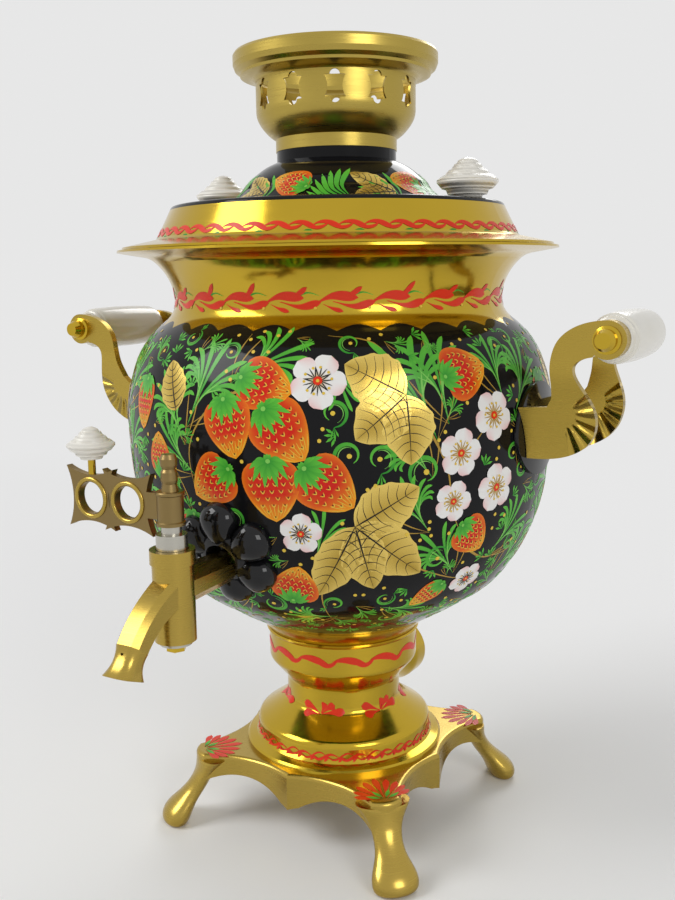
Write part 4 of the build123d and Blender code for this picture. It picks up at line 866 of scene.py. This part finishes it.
def leaf(brush, start, tip, width):
    """A broad gilded leaf with scalloped sides and inked veins."""
    start, tip = Vector(start), Vector(tip)
    length = (tip - start).length
    way = (tip - start) / length
    side = Vector((way.y, -way.x))

    def half(t):
        if not 0 < t < 1:
            return 0.0
        scallop = 1 - 0.10 * abs(math.cos(math.pi * t * TEETH))
        return width / 2 * math.sin(math.pi * t**0.85) ** 0.75 * scallop

    brush.filled(gilding, half, start, tip, LEAF_LIFT, rows=TEETH * 5, columns=6)
    brush.stroke(ink, [start, start.lerp(tip, 0.95)], 0.8, "comma", VEIN_LIFT, 8)
    for vein in range(VEIN_PAIRS):
        t = 0.06 + vein / VEIN_PAIRS * 0.84
        root = start.lerp(tip, t)
        for across in (-1, 1):
            reach = half(min(t + 0.12, 0.97)) * 0.86
            end = root + way * length * 0.12 + side * across * reach
            bend = root.lerp(end, 0.5) - way * length * 0.03
            brush.stroke(ink, [root, bend, end], 0.42, "comma", VEIN_LIFT, 3)


print("teeth of a leaf:", TEETH, "pairs of veins:", VEIN_PAIRS)

# %% [markdown]
# Between the large motifs run green plumes and tendrils. A plume's blades share a stem, and each next one
# is shorter and bends farther out.

# %% Plume and tendril
PEELED, FAR_SIDE = 6, 4                # blades on the side that the plume peels to, and on the other
FAR_START = 0.16                       # how far along the stem the other side starts
LONG_PLUME = 14                        # a stem from which the blades get finer steps
BLADE_BENDS = ((0.34, 0.22), (0.33, 0.72), (0.23, 1.30), (0.12, 2.1))   # share of the blade, and bend


def spray(brush, root, tip, hand):
    """A plume: blades that leave their stem one after another, the outer ones shorter and more bent."""
    root, tip = Vector(root), Vector(tip)
    stem = tip - root
    steps = 3 if stem.length > LONG_PLUME else 2
    for side, count, late in ((hand, PEELED, 0.0), (-hand, FAR_SIDE, FAR_START)):
        for blade in range(count):
            share = late + blade / PEELED
            reach = stem * (1.06 - 0.66 * share)
            line = [root + stem * share * 0.34]
            for part, bend in BLADE_BENDS:
                swing = Matrix.Rotation(math.radians(side * (7 + 92 * share) * bend), 2)
                line.append(line[-1] + swing @ (reach * part))
            width = stem.length * (0.066 - 0.022 * share)
            brush.stroke(green, line, width, "plume", BLADE_LIFT + 0.003 * blade, steps)
            if blade % 2:
                brush.stroke(pale_green, line[:3], width * 0.3, "blade", RIB_LIFT, steps)
    for lean in (-34, -52):
        swing = Matrix.Rotation(math.radians(hand * lean), 2)
        line = [root, root + swing @ (stem * 0.34), root + swing @ stem * 0.62 + stem * 0.10]
        brush.stroke(ochre, line, stem.length * 0.014 + 0.15, "blade", VINE_LIFT, 4)


def curl(brush, radius, hand=1):
    """A tendril: a crescent that winds round a dot, with a thin line inside it and shoots at its foot."""
    def winding(reach, first, last, closing):
        line = []
        for step in range(13):
            angle = math.radians(first + (last - first) * step / 12)
            out = reach * (1 - closing * step / 12)
            line.append((hand * out * math.cos(angle), out * math.sin(angle)))
        return line

    brush.stroke(green, winding(radius, -110, 215, 0.42), radius * 0.26, "crescent", BLADE_LIFT, 3)
    brush.stroke(pale_green, winding(radius * 0.70, -90, 90, 0.2), radius * 0.07, "blade", SHOOT_LIFT, 3)
    brush.dot(yellow, -hand * radius * 0.08, radius * 0.02, radius * 0.17)
    foot = Vector(winding(radius, -110, -100, 0.0)[0])
    for lean, size in ((-38, 0.75), (-16, 0.95), (6, 0.7)):
        way = aimed(lean * hand)
        brush.stroke(green, [foot, foot + way * radius * size], radius * 0.13, "plume", SHOOT_LIFT, 4)


print("blades of a plume:", PEELED + FAR_SIDE)

# %% [markdown]
# ## The vessel's painting
# One bunch of berries, flowers and leaves fills a third of the way round, from left of the tap to the
# right handle, and comes three times. Its places are chosen one by one, as a painter would, so they are
# lists of azimuths and heights rather than a rule.

# %% The bunch
# Berries: azimuth, height, turn, length, width.
BERRIES = [
    (12.6, 220.6, 75, 27, 24),
    (4.2, 204.9, 15, 29, 24),
    (17.4, 203.1, 40, 31, 27),
    (-0.8, 181.3, -55, 26, 24),
    (14.6, 179.9, 5, 30, 27),
    (27.4, 182.5, 50, 30, 26),
    (-9, 157.5, -10, 24, 18),
    (18, 138.4, 165, 24, 22),
    (61.9, 223.7, 100, 25, 25),
    (64.8, 155.5, 45, 22, 20),
    (55.9, 131.4, -45, 20, 13),
    (-27, 210, 0, 26, 18),
    (-19, 189, 180, 22, 18),
]
# Flowers: azimuth, height, turn, radius, whether the stamens are golden.
FLOWERS = [
    (25.5, 221.9, 10, 13.5, False),
    (20.9, 162.1, 30, 10.5, False),
    (69.2, 205.9, 0, 12.5, True),
    (59.2, 192.7, 25, 12.0, True),
    (71.0, 176.4, 50, 12.5, True),
    (57.8, 173.0, 15, 10.5, True),
    (68.1, 134.9, 5, 10.0, False),
]
# Leaves: azimuth and height of the joint, then of the tip, and the leaf's width.
LEAVES = [
    (45.8, 217.0, 32.4, 229.0, 25),
    (45.8, 217.0, 33.6, 200.5, 23),
    (45.8, 217.0, 46.6, 188.6, 23),
    (33.7, 165.2, 49.0, 181.0, 22),
    (33.7, 165.2, 50.0, 142.0, 24),
    (33.7, 165.2, 38.5, 136.0, 20),
    (33.7, 165.2, 25.0, 133.0, 20),
    (-12, 208.7, -17, 228.7, 17),
]
# Sprays: azimuth and height of the root, then of the tip, and the side that they peel to.
SPRAYS = [
    ((-8, 203), (1, 234), 1),
    ((4, 221), (20, 237), -1),
    ((-9, 196), (-17, 224), 1),
    ((-6, 184), (-20, 203), -1),
    ((-8, 166), (-24, 176), 1),
    ((-12, 142), (-27, 160), -1),
    ((53, 198), (43, 236), 1),
    ((56, 204), (52, 237), -1),
    ((73, 212), (71, 236), -1),
    ((77, 204), (88, 231), 1),
    ((79, 182), (89, 204), -1),
    ((52, 184), (43, 203), 1),
    ((52, 160), (43, 182), -1),
    ((62, 140), (51, 160), 1),
    ((73, 144), (86, 166), 1),
    ((80, 130), (95, 150), -1),
    ((24, 150), (28, 172), 1),
    ((42, 126), (56, 122), 1),
    ((29, 122), (13, 120), -1),
    ((77, 120), (62, 116), 1),
    ((3, 130), (-12, 124), -1),
    ((-25, 134), (-9, 138), -1),
    ((29, 231), (32, 212), 1),
    ((-26, 228), (-28, 238), 1),
]
# Tendrils: azimuth, height, turn, radius and hand.
CURLS = [
    (29.2, 210.0, 20, 5.5, 1),
    (32.2, 193.7, -20, 6.0, -1),
    (39.6, 193.0, 20, 6.0, 1),
    (50.0, 187.0, -40, 7.0, -1),
    (33.2, 236.0, 0, 4.5, -1),
    (76.0, 232.5, 60, 4.5, 1),
    (55.3, 149.0, 150, 5.5, 1),
    (73.0, 120.0, 90, 5.0, -1),
    (10.0, 128.0, 160, 5.5, -1),
    (-5.0, 139.0, 60, 5.5, 1),
    (-24.0, 232.0, 20, 4.5, -1),
    (-28.0, 176.0, -30, 5.5, 1),
    (28.0, 176.0, 190, 5.0, -1),
    (4.0, 167.0, 40, 5.0, 1),
    (46.0, 118.0, 170, 5.5, -1),
    (-20.0, 122.0, 150, 5.0, 1),
]
# Stems: azimuths and heights.
STEMS = [
    ((45.8, 217), (52, 200), (56, 186), (58, 168), (63, 152)),
    ((56, 186), (62, 194), (68, 204)),
    ((33.7, 165), (44, 150), (58, 138), (68, 134)),
    ((33.7, 165), (28, 150), (26, 132), (30, 116)),
    ((63, 152), (72, 144), (84, 146)),
    ((45.8, 217), (40, 236), (30, 239)),
    ((12, 221), (0, 214), (-8, 196), (-7, 176)),
]
BUNCHES = 3
print("motifs in a bunch:", sum(len(row) for row in (BERRIES, FLOWERS, LEAVES, SPRAYS, CURLS, STEMS)))

# %% [markdown]
# Each motif claims its place, so that the filling strokes find out where there is room.

# %% Painting the bunch
def between(start, stop, share):
    """A place that far along the way between two of (azimuth, height)."""
    return start[0] + (stop[0] - start[0]) * share, start[1] + (stop[1] - start[1]) * share


vessel_brush = Brush(vessel_skin, VESSEL)
for repeat in range(BUNCHES):
    round_by = repeat * 360 / BUNCHES
    for azimuth, height, turn, length, width in BERRIES:
        vessel_brush.go(azimuth + round_by, height, turn)
        berry(vessel_brush, length * 0.9, width * 0.9)
        vessel_brush.claim(azimuth + round_by, height, length * 0.42)
    for azimuth, height, turn, radius, golden in FLOWERS:
        vessel_brush.go(azimuth + round_by, height, turn)
        flower(vessel_brush, radius * 0.84, ochre if golden else ink)
        vessel_brush.claim(azimuth + round_by, height, radius * 0.84)
    for azimuth, height, tip_azimuth, tip_height, width in LEAVES:
        vessel_brush.go(azimuth + round_by, height)
        tip = vessel_brush.way_to((azimuth, height), (tip_azimuth, tip_height))
        leaf(vessel_brush, (0, 0), tip, width)
        for share in (0.3, 0.7):
            spot = between((azimuth, height), (tip_azimuth, tip_height), share)
            vessel_brush.claim(spot[0] + round_by, spot[1], width * 0.42)
    for root, tip, hand in SPRAYS:
        vessel_brush.go(root[0] + round_by, root[1])
        spray(vessel_brush, (0, 0), vessel_brush.way_to(root, tip), hand)
        for share in (0.4, 0.75):
            spot = between(root, tip, share)
            vessel_brush.claim(spot[0] + round_by, spot[1], 3.4)
    for azimuth, height, turn, radius, hand in CURLS:
        vessel_brush.go(azimuth + round_by, height, turn)
        curl(vessel_brush, radius, hand)
        vessel_brush.claim(azimuth + round_by, height, radius)
    for stem in STEMS:
        vessel_brush.go(stem[0][0] + round_by, stem[0][1])
        line = [vessel_brush.way_to(stem[0], place) for place in stem]
        vessel_brush.stroke(ochre, line, 1.3, "comma", STEM_LIFT, 6)
print("places claimed:", len(vessel_brush.spots))

# %% [markdown]
# The black ground between the motifs is full of tendrils, small plumes, shoots and dots. Random places are
# tried, the large fillers first, and a filler is drawn only where nothing lies yet. The seed is fixed, so
# the painting is the same each time.

# %% Filling the ground
FILLERS = ((6.0, 500), (4.8, 900), (3.8, 1200), (2.6, 1800), (1.5, 2400))      # radius and tries
rng = random.Random(7)
ground_brush = Brush(vessel_skin, VESSEL)
ground_brush.spots = vessel_brush.spots
fillers = 0
for radius, tries in FILLERS:
    for _ in range(tries):
        azimuth = rng.uniform(-180, 180)
        height = rng.uniform(GROUND_LOW + radius + 2, GROUND_HIGH - radius + 1)
        if ground_brush.taken(azimuth, height, radius):
            continue
        turn, hand = rng.uniform(0, 360), rng.choice((-1, 1))
        ground_brush.go(azimuth, height, turn)
        if radius > 4.5 and rng.random() < 0.5:
            curl(ground_brush, radius * 0.9, hand)
        elif radius > 3.0:
            spray(ground_brush, (0, -radius), (hand * radius * 0.3, radius), hand)
        elif radius > 2.0:
            root = Vector((0, 2.0))
            for lean in (-50, -17, 17, 50):
                ground_brush.stroke(green, [root, root + aimed(lean) * 4.6], 1.2, "plume", SHOOT_LIFT, 3)
        else:
            ground_brush.dot(yellow, 0, 0, 0.8)
        ground_brush.claim(azimuth, height, radius)
        fillers += 1
ground_brush.finish("ground")
print("fillers:", fillers)

# %% [markdown]
# On the brass neck runs a row of red leaves, with a thin green shoot and a dot to each. Neighbours
# overlap, so the row reads as one garland.

# %% The neck's garland
NECK_ROW = body_low.z + 158.6
NECK_LEAVES = 22
LOWEST, MIDDLE, UPPERMOST = 0.12, 0.14, 0.16        # lifts of a leaf's overlapping strokes
for step in range(NECK_LEAVES):
    vessel_brush.go(step * 360 / NECK_LEAVES, NECK_ROW)
    vessel_brush.stroke(red, [(-13, -1.8), (-5, 1.6), (5, 0.8)], 4.0, "plume", LOWEST, 6)
    vessel_brush.stroke(red, [(-5, -0.6), (4, -2.6), (12, -0.6)], 3.2, "plume", MIDDLE, 6)
    tip = 5.2 if step % 3 else 7.2
    vessel_brush.stroke(red, [(-4, 1.4), (2, 2.2), (6.5, tip)], 2.2, "plume", UPPERMOST, 5)
    vessel_brush.stroke(red, [(-9, -1.6), (-5, -3.4), (-1, -4.6)], 1.8, "plume", UPPERMOST, 5)
    vessel_brush.stroke(green, [(3, 2.0), (7, 3.0), (11, 1.8)], 0.9, "comma", LOWEST, 4)
    vessel_brush.dot(yellow, 9.6, -3.2, 0.6)
vessel_brush.finish("vessel")
print("leaves on the neck:", NECK_LEAVES)

# %% [markdown]
# ## Rosette and key
# The rosette at the tap's root is a cast flower: six domed petals round a collar, all of them lying on the
# vessel's wall. Each petal is a half ellipsoid whose points are put on the wall's own skin, so it follows
# the curve with no gap under it.

# %% Rosette
ROSETTE_Z = 150.0
PETALS = 6
PETAL_OUT = 14.4                       # tap's axis to the middle of a petal
PETAL_LONG, PETAL_WIDE, PETAL_HIGH = 9.2, 8.0, 7.4
PETAL_FLARE = 0.22                     # how much wider a petal is at its outer end
WALL_GAP = 0.15                        # between the rosette and the wall
COLLAR = ((6.9, WALL_GAP), (11.4, WALL_GAP), (10.6, 4.2), (9.2, 5.0), (6.9, 5.0))


def on_wall(x, y, lift):
    """A point over the vessel's wall, to the right of and above the middle of the rosette."""
    along = vessel_skin.at_height(ROSETTE_Z)
    radius = vessel_skin.spot(along)[0].x
    return vessel_skin.point(math.degrees(x / radius), along + y, lift)


def petal(turn):
    """A dome, longer along its ray, as vertices and faces."""
    ray = Vector((math.cos(turn), math.sin(turn)))
    side = Vector((-ray.y, ray.x))
    rings, around = 9, 28
    verts = []
    for ring in range(rings):
        rise = math.pi / 2 * ring / rings
        for step in range(around):
            angle = 2 * math.pi * step / around
            long = PETAL_LONG * math.cos(rise) * math.cos(angle)
            wide = PETAL_WIDE * math.cos(rise) * math.sin(angle) * (1.0 + PETAL_FLARE * math.cos(angle))
            place = ray * (PETAL_OUT + long) + side * wide
            verts.append(on_wall(place.x, place.y, WALL_GAP + PETAL_HIGH * math.sin(rise)))
    foot, top = len(verts), len(verts) + 1
    middle = ray * PETAL_OUT
    verts += [on_wall(middle.x, middle.y, lift) for lift in (WALL_GAP, WALL_GAP + PETAL_HIGH)]
    faces = []
    for step in range(around):
        after = (step + 1) % around
        faces.append([foot, after, step])
        last = (rings - 1) * around
        faces.append([top, last + step, last + after])
        for ring in range(rings - 1):
            low = ring * around
            faces.append([low + step, low + after, low + around + after, low + around + step])
    return verts, faces


verts, faces = [], []
for step in range(PETALS):
    dome, sides = petal(2 * math.pi * (step + 0.5) / PETALS)
    faces += [[corner + len(verts) for corner in side] for side in sides]
    verts += dome
ring_verts, ring_faces = spun(COLLAR, 48)
faces += [[corner + len(verts) for corner in face] for face in ring_faces]
verts += [on_wall(x, y, lift) for x, y, lift in ring_verts]
piece("rosette", verts, faces, VESSEL, lacquer, ("tap_rosette",), sharp=60)
print("petals:", PETALS)

# %% [markdown]
# The key's plate has two large rings, each with a raised rim on both sides: a torus, laid on its side.

# %% Rims of the key
KEY_Y, KEY_Z = -126.4, 177.0           # middle of the plate, and height of the rings
KEY_HALF = 1.5                         # half the thickness of the plate
RING_PLACES = (20.0, 39.0)             # axis of the tap to each ring
RING_R, RIM_WIDE, RIM_HIGH, RIM_SIDES = 7.5, 0.95, 0.75, 10
corners = [2 * math.pi * side / RIM_SIDES for side in range(RIM_SIDES)]
rim = [(RING_R + RIM_WIDE * math.cos(turn), RIM_HIGH * math.sin(turn)) for turn in corners]
rim_verts, rim_faces = spun(rim, 64)
lying = Matrix.Rotation(math.pi / 2, 4, "X")
for out in RING_PLACES:
    for side in (-1, 1):
        place = Matrix.Translation((-out, KEY_Y + side * KEY_HALF, KEY_Z)) @ lying
        laid = [place @ Vector(v) for v in rim_verts]
        piece(f"key_rim_{out:.0f}_{side + 1}", laid, rim_faces, KEY, olive)
print("rims:", 2 * len(RING_PLACES))

# %% [markdown]
# ## The lid's dome
# Five bunches go round the dome, each a large berry, two small ones, a pair of leaves and two fans.

# %% Painting the dome
DOME_BUNCHES = 5


def frond(brush, length, first, last, count, bend, width=2.3):
    """A fan of blades from one root, all curving the same way."""
    for place in range(count):
        lean = first + (last - first) * place / (count - 1)
        line = [Vector((0, 0)), aimed(lean) * length * 0.55, aimed(lean + bend) * length]
        brush.stroke(green, line, width, "plume", SHOOT_LIFT + 0.004 * place, 5)


dome_brush = Brush(dome_skin, LID)
for step in range(DOME_BUNCHES):
    azimuth = step * 360 / DOME_BUNCHES + 4
    dome_brush.go(azimuth, along=dome_skin.at_radius(43), turn=-108)
    berry(dome_brush, 19, 16)
    for side in (-12, 8):
        dome_brush.go(azimuth + side, along=dome_skin.at_radius(55), turn=-100)
        berry(dome_brush, 12, 9)
    dome_brush.go(azimuth + 47, along=dome_skin.at_radius(44))
    leaf(dome_brush, (9, -4), (-9, 7), 11)
    leaf(dome_brush, (9, -4), (-10, -6), 12)
    dome_brush.go(azimuth + 34, along=dome_skin.at_radius(52))
    frond(dome_brush, 20, 274, 200, 7, -22)
    dome_brush.go(azimuth + 58, along=dome_skin.at_radius(54))
    frond(dome_brush, 19, 235, 165, 5, 20, 1.9)
    dome_brush.go(azimuth + 24, along=dome_skin.at_radius(56))
    curl(dome_brush, 2.8)
dome_brush.finish("lid")
print("bunches on the dome:", DOME_BUNCHES)

# %% [markdown]
# ## Borders that repeat
# Round the lid's band and the pedestal's collar one stroke is repeated dozens of times. That is work for
# Geometry Nodes: a curve gets a section and a swelling scale, is set side by side along a line that is as
# long as the way round, and the finished row is wrapped round the cone or cylinder that carries it.
# Wrapping last keeps the strokes simple, since they are drawn flat.

# %% The border's tree
BORDER_INPUTS = (
    ("Copies", "Int"), ("Radius", "Float"), ("Height", "Float"), ("Slope", "Float"), ("Turn", "Float"),
    ("Length", "Float"), ("Width", "Float"), ("Rise", "Float"), ("Lean", "Float"), ("Lift", "Float"),
    ("Material", "Material"),
)
BORDER_PAINT = 0.12                    # thickness of a border's stroke


def border_tree():
    """Builds the tree. All its lengths are in millimetres."""
    tree = bpy.data.node_groups.new("painted_border", "GeometryNodeTree")
    tree.interface.new_socket("Geometry", in_out="OUTPUT", socket_type="NodeSocketGeometry")
    for label, kind in BORDER_INPUTS:
        tree.interface.new_socket(label, in_out="INPUT", socket_type="NodeSocket" + kind)
    nodes = Nodes(tree)
    given = {socket.name: Shade(nodes, socket) for socket in nodes.node("NodeGroupInput").outputs}

    def made(kind, sockets=None, output=0, **settings):
        return nodes.node(kind, sockets, **settings).outputs[output]

    def vector(x, y, z):
        return made("ShaderNodeCombineXYZ", {"X": x, "Y": y, "Z": z})

    # One stroke: a bow between two ends, thin where it starts and ends.
    half, low = given["Length"] * 0.5, given["Rise"] * -0.5
    path = made("GeometryNodeCurveQuadraticBezier", {
        "Resolution": 12,
        "Start": vector(half * -1.0, low, 0.0),
        "Middle": vector(half * given["Lean"], given["Rise"] * 1.5, 0.0),
        "End": vector(half, low, 0.0),
    })
    share = Shade(nodes, made("GeometryNodeSplineParameter", output="Factor"))
    swell = (share**1.4 * math.pi).sine().larger(0.04)
    section = made("GeometryNodeCurvePrimitiveQuadrilateral", {
        "Width": given["Width"], "Height": BORDER_PAINT,
    })
    stroke = made("GeometryNodeCurveToMesh", {
        "Curve": path, "Profile Curve": section, "Scale": swell, "Fill Caps": True,
    })
    # The row, laid out flat.
    gap = given["Radius"] * (2 * math.pi) / given["Copies"]
    line = made("GeometryNodeMeshLine", {"Count": given["Copies"], "Offset": vector(gap, 0.0, 0.0)})
    row = made("GeometryNodeInstanceOnPoints", {"Points": line, "Instance": stroke})
    row = made("GeometryNodeRealizeInstances", {"Geometry": row})
    # The row, wrapped round.
    along, up, off = nodes.parts(made("GeometryNodeInputPosition"))
    angle = along / given["Radius"] + given["Turn"]
    out = up * given["Slope"] + given["Radius"] + (off + given["Lift"])
    spot = vector(out * angle.math("COSINE"), out * angle.sine(), up + given["Height"])
    scaled = made("ShaderNodeVectorMath", {0: spot, 3: MM}, operation="SCALE")
    wrapped = made("GeometryNodeSetPosition", {"Geometry": row, "Position": scaled})
    coloured = made("GeometryNodeSetMaterial", {"Geometry": wrapped, "Material": given["Material"]})
    nodes.node("NodeGroupOutput", {0: coloured})
    return tree


BORDER = border_tree()
print("border inputs:", ", ".join(label for label, _ in BORDER_INPUTS))

# %% [markdown]
# A border is then an empty object with that tree as its modifier. The modifier's inputs go by identifiers,
# not names, and are set before the object is first evaluated. The result is kept as a plain mesh.

# %% Laying a border
BORDER_LIFT = 0.10                     # of a border's middle over the brass


def border(name, body, tone, foot, head, copies, length, width, rise, lean=0.0, turn=0.0, drop=0.0):
    """A border on the cone through two points of its side, its middle halfway between them."""
    low, high = Vector((foot.xy.length, foot.z)), Vector((head.xy.length, head.z))
    middle = (low + high) / 2
    slope = (high.x - low.x) / (high.y - low.y)
    radius, height = middle.x - slope * drop, middle.y - drop
    values = (copies, radius, height, slope, turn, length, width, rise, lean, BORDER_LIFT, tone.material)
    made = linked(name, bpy.data.meshes.new(name))
    modifier = made.modifiers.new("border", "NODES")
    modifier.node_group = BORDER
    sockets = {item.name: item.identifier for item in BORDER.interface.items_tree if item.in_out == "INPUT"}
    for (label, _), value in zip(BORDER_INPUTS, values):
        modifier[sockets[label]] = value
    plain(made)
    made.data.name = name
    for face in made.data.polygons:
        face.material_index = 0
    made.data.materials.clear()
    made.data.materials.append(tone.material)
    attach(made, body)


foot, head = band_skin.point(0, 1.2, 0.0), band_skin.point(0, 4.8, 0.0)
border("band_plait_up", LID, red, foot, head, copies=52, length=13.0, width=1.7, rise=2.4, lean=-0.4)
border(
    "band_plait_down", LID, red, foot, head,
    copies=52, length=12.0, width=1.3, rise=-2.2, lean=0.3, turn=0.06,
)
border(
    "band_shoots", LID, green, foot, head,
    copies=26, length=6.0, width=1.0, rise=1.0, drop=2.6, turn=0.03,
)
foot = stem_skin.point(0, stem_skin.at_height(pedestal_high.z - 10.0), 0.0)
head = stem_skin.point(0, stem_skin.at_height(pedestal_high.z - 5.0), 0.0)
border("collar_wave", VESSEL, red, foot, head, copies=13, length=19.0, width=3.4, rise=3.6, lean=-0.5)
border("collar_tails", VESSEL, red, foot, head, copies=13, length=11.0, width=2.0, rise=-2.6, turn=0.19)
print("borders: a plait with shoots on the lid, a wave with tails on the pedestal")

# %% [markdown]
# ## Brim and pedestal
# The brim has dots and half leaves in turn. The pedestal's cone has six red sprigs, and its foot a band
# of two waves that cross, with short strokes between them.

# %% Painting the brim and the pedestal
BRIM_MARKS, SPRIGS, FOOT_STROKES = 36, 6, 40
brim_brush = Brush(brim_skin, VESSEL)
for step in range(BRIM_MARKS):
    brim_brush.go(step * 360 / BRIM_MARKS, along=1.1)
    if step % 2:
        brim_brush.dot(red, 0, 0, 0.9, 0.1)
    else:
        brim_brush.stroke(green, [(-3.4, -0.4), (0, 0.3), (3.4, -0.4)], 1.2, "leaf", 0.1, 3)
brim_brush.finish("brim")

stem_brush = Brush(stem_skin, VESSEL)
for step in range(SPRIGS):
    stem_brush.go(step * 360 / SPRIGS + 8, pedestal_low.z + 21.0)
    for lean, reach in ((-78, 12), (-48, 9), (-20, 7), (62, 11), (92, 9)):
        way = aimed(180 + lean)
        line = [way * 0.5, way * reach * 0.6, way * reach + Vector((0, -1.2))]
        stem_brush.stroke(red, line, 4.2, "plume", 0.1, 4)
stem_brush.wave(red, 2.9, 1.4, 20, 1.7)
stem_brush.wave(red, 3.3, 1.7, 20, 1.1, 0.14, 0.42)
for step in range(FOOT_STROKES):
    stem_brush.go(step * 360 / FOOT_STROKES + 2, along=2.4)
    stem_brush.stroke(red, [(-1.6, -1.6), (0.2, 0.2), (2.2, -0.8)], 1.5, "comma", 0.17, 3)
stem_brush.finish("stem")
print("sprigs:", SPRIGS, "strokes at the foot:", FOOT_STROKES)

# %% [markdown]
# ## Corners of the base
# Each of the four corners over the feet carries a red fan with green shoots at its root.

# %% Painting the corners
CORNERS = 4
FAN_ROOT = 71.0                        # axis to the point where a fan's petals meet
corner_brush = Brush(plate_skin, VESSEL)
for corner in range(CORNERS):
    corner_brush.go((corner + 0.5) * 360 / CORNERS, along=PLATE_EDGE - FAN_ROOT)
    for lean in (-72, -54, -36, -18, 0, 18, 36, 54, 72):
        way = aimed(180 + lean)
        reach = 19.0 - abs(lean) * 0.075
        corner_brush.stroke(red, [way * 2.4, way * reach * 0.6, way * reach], 3.3, "plume", 0.12, 4)
    for lean in (-63, -27, 27, 63):
        way = aimed(180 + lean)
        corner_brush.stroke(green, [way * 1.6, way * 4.6, way * 8.5], 2.0, "blade", 0.20, 3)
corner_brush.finish("corner")
print("fans:", CORNERS)

# %% [markdown]
# ## Studio
# Polished brass shows what stands round it, so the studio matters as much as the metal. The world is a
# soft grey light for the object, and a paler backdrop for the viewer and for what the brass mirrors. A
# Light Path node tells the two apart, so that the backdrop's brightness adds none to the object.

# %% World
BACKDROP = (0.8, 0.8, 0.8)
FILL = 0.45                            # the world as the object gets it, as a share of the backdrop


def watched(nodes):
    """1 where a thing is looked at, or seen in a gloss or through a pane, and 0 for its light."""
    ray = nodes.node("ShaderNodeLightPath").outputs
    seen = Shade(nodes, ray["Is Camera Ray"])
    return seen.larger(ray["Is Glossy Ray"]).larger(ray["Is Transmission Ray"])


world = bpy.data.worlds.new("studio")
bpy.context.scene.world = world
world.use_nodes = True
studio = Nodes(world.node_tree)
strength = watched(studio) * (1.0 - FILL) + FILL
sky = studio.node("ShaderNodeBackground", {"Color": BACKDROP, "Strength": strength})
studio.node("ShaderNodeOutputWorld", {0: sky.outputs[0]})
print("fill light:", FILL)

# %% [markdown]
# The floor keeps the object's shadow. Farther out it fades into the backdrop, so no horizon shows.

# %% Floor
FLOOR_CLEAR = 0.16                     # metres from the axis to where the floor starts to fade, over a metre
FLOOR_R, FLOOR_DROP = 3.0, 0.0002      # metres; the floor lies a hair under the feet
floor_paint = Recipe("floor", (0.92, 0.92, 0.92), 0.6)
x, y, z = floor_paint.place()
away = ((x * x + y * y) ** 0.5 * MM - FLOOR_CLEAR).limited()
glow = floor_paint.node("ShaderNodeEmission", {"Color": BACKDROP})
blend = floor_paint.node("ShaderNodeMixShader", {
    0: away * watched(floor_paint), 1: floor_paint.shader.outputs[0], 2: glow.outputs[0],
})
floor_paint.feed(floor_paint.output.inputs["Surface"], blend.outputs[0])
bpy.ops.mesh.primitive_circle_add(
    vertices=96, radius=FLOOR_R, fill_type="NGON", location=(0, 0, -FLOOR_DROP)
)
floor = bpy.context.object
floor.name = "floor"
floor.data.materials.append(floor_paint.material)
print("floor:", FLOOR_R, "m")

# %% [markdown]
# Three large square lamps give the brass long soft highlights: a key light from the left, a weaker one
# from the right and one behind that draws the rim.

# %% Lamps
AIM = Vector((0, 0, 0.18))             # middle of the object


def lamp(name, place, size, watts):
    """A soft square lamp that looks at the middle of the object."""
    data = bpy.data.lights.new(name, "AREA")
    data.size = size
    data.energy = watts
    made = bpy.data.objects.new(name, data)
    made.location = place
    made.rotation_euler = (AIM - made.location).to_track_quat("-Z", "Y").to_euler()
    bpy.context.scene.collection.objects.link(made)


lamp("key", (-1.1, -1.0, 1.3), 0.9, 16)
lamp("side", (1.4, -0.8, 0.9), 0.7, 7)
lamp("back", (-0.3, 1.5, 1.2), 0.8, 8)
print("lamps: 3")

# %% [markdown]
# The viewer stands in front and to the right, a little above the lid, and tilts the head slightly. A place
# and two directions say all of that: to the right and up in the picture.

# %% Camera
CAMERA_PLACE = Vector((243.572, -412.849, 262.594))
CAMERA_RIGHT = Vector((0.86089, 0.50861, -0.01358))
CAMERA_UP = Vector((-0.07586, 0.15470, 0.98504))
LENS = 40.41                           # focal length in millimetres
data = bpy.data.cameras.new("view")
data.lens = LENS
camera = bpy.data.objects.new("view", data)
turn = Matrix((CAMERA_RIGHT, CAMERA_UP, CAMERA_RIGHT.cross(CAMERA_UP))).transposed().to_4x4()
camera.matrix_world = Matrix.Translation(CAMERA_PLACE * MM) @ turn
bpy.context.scene.collection.objects.link(camera)
bpy.context.scene.camera = camera
bpy.context.scene.view_settings.view_transform = "Standard"

print("camera at", tuple(round(v) for v in CAMERA_PLACE), "mm")
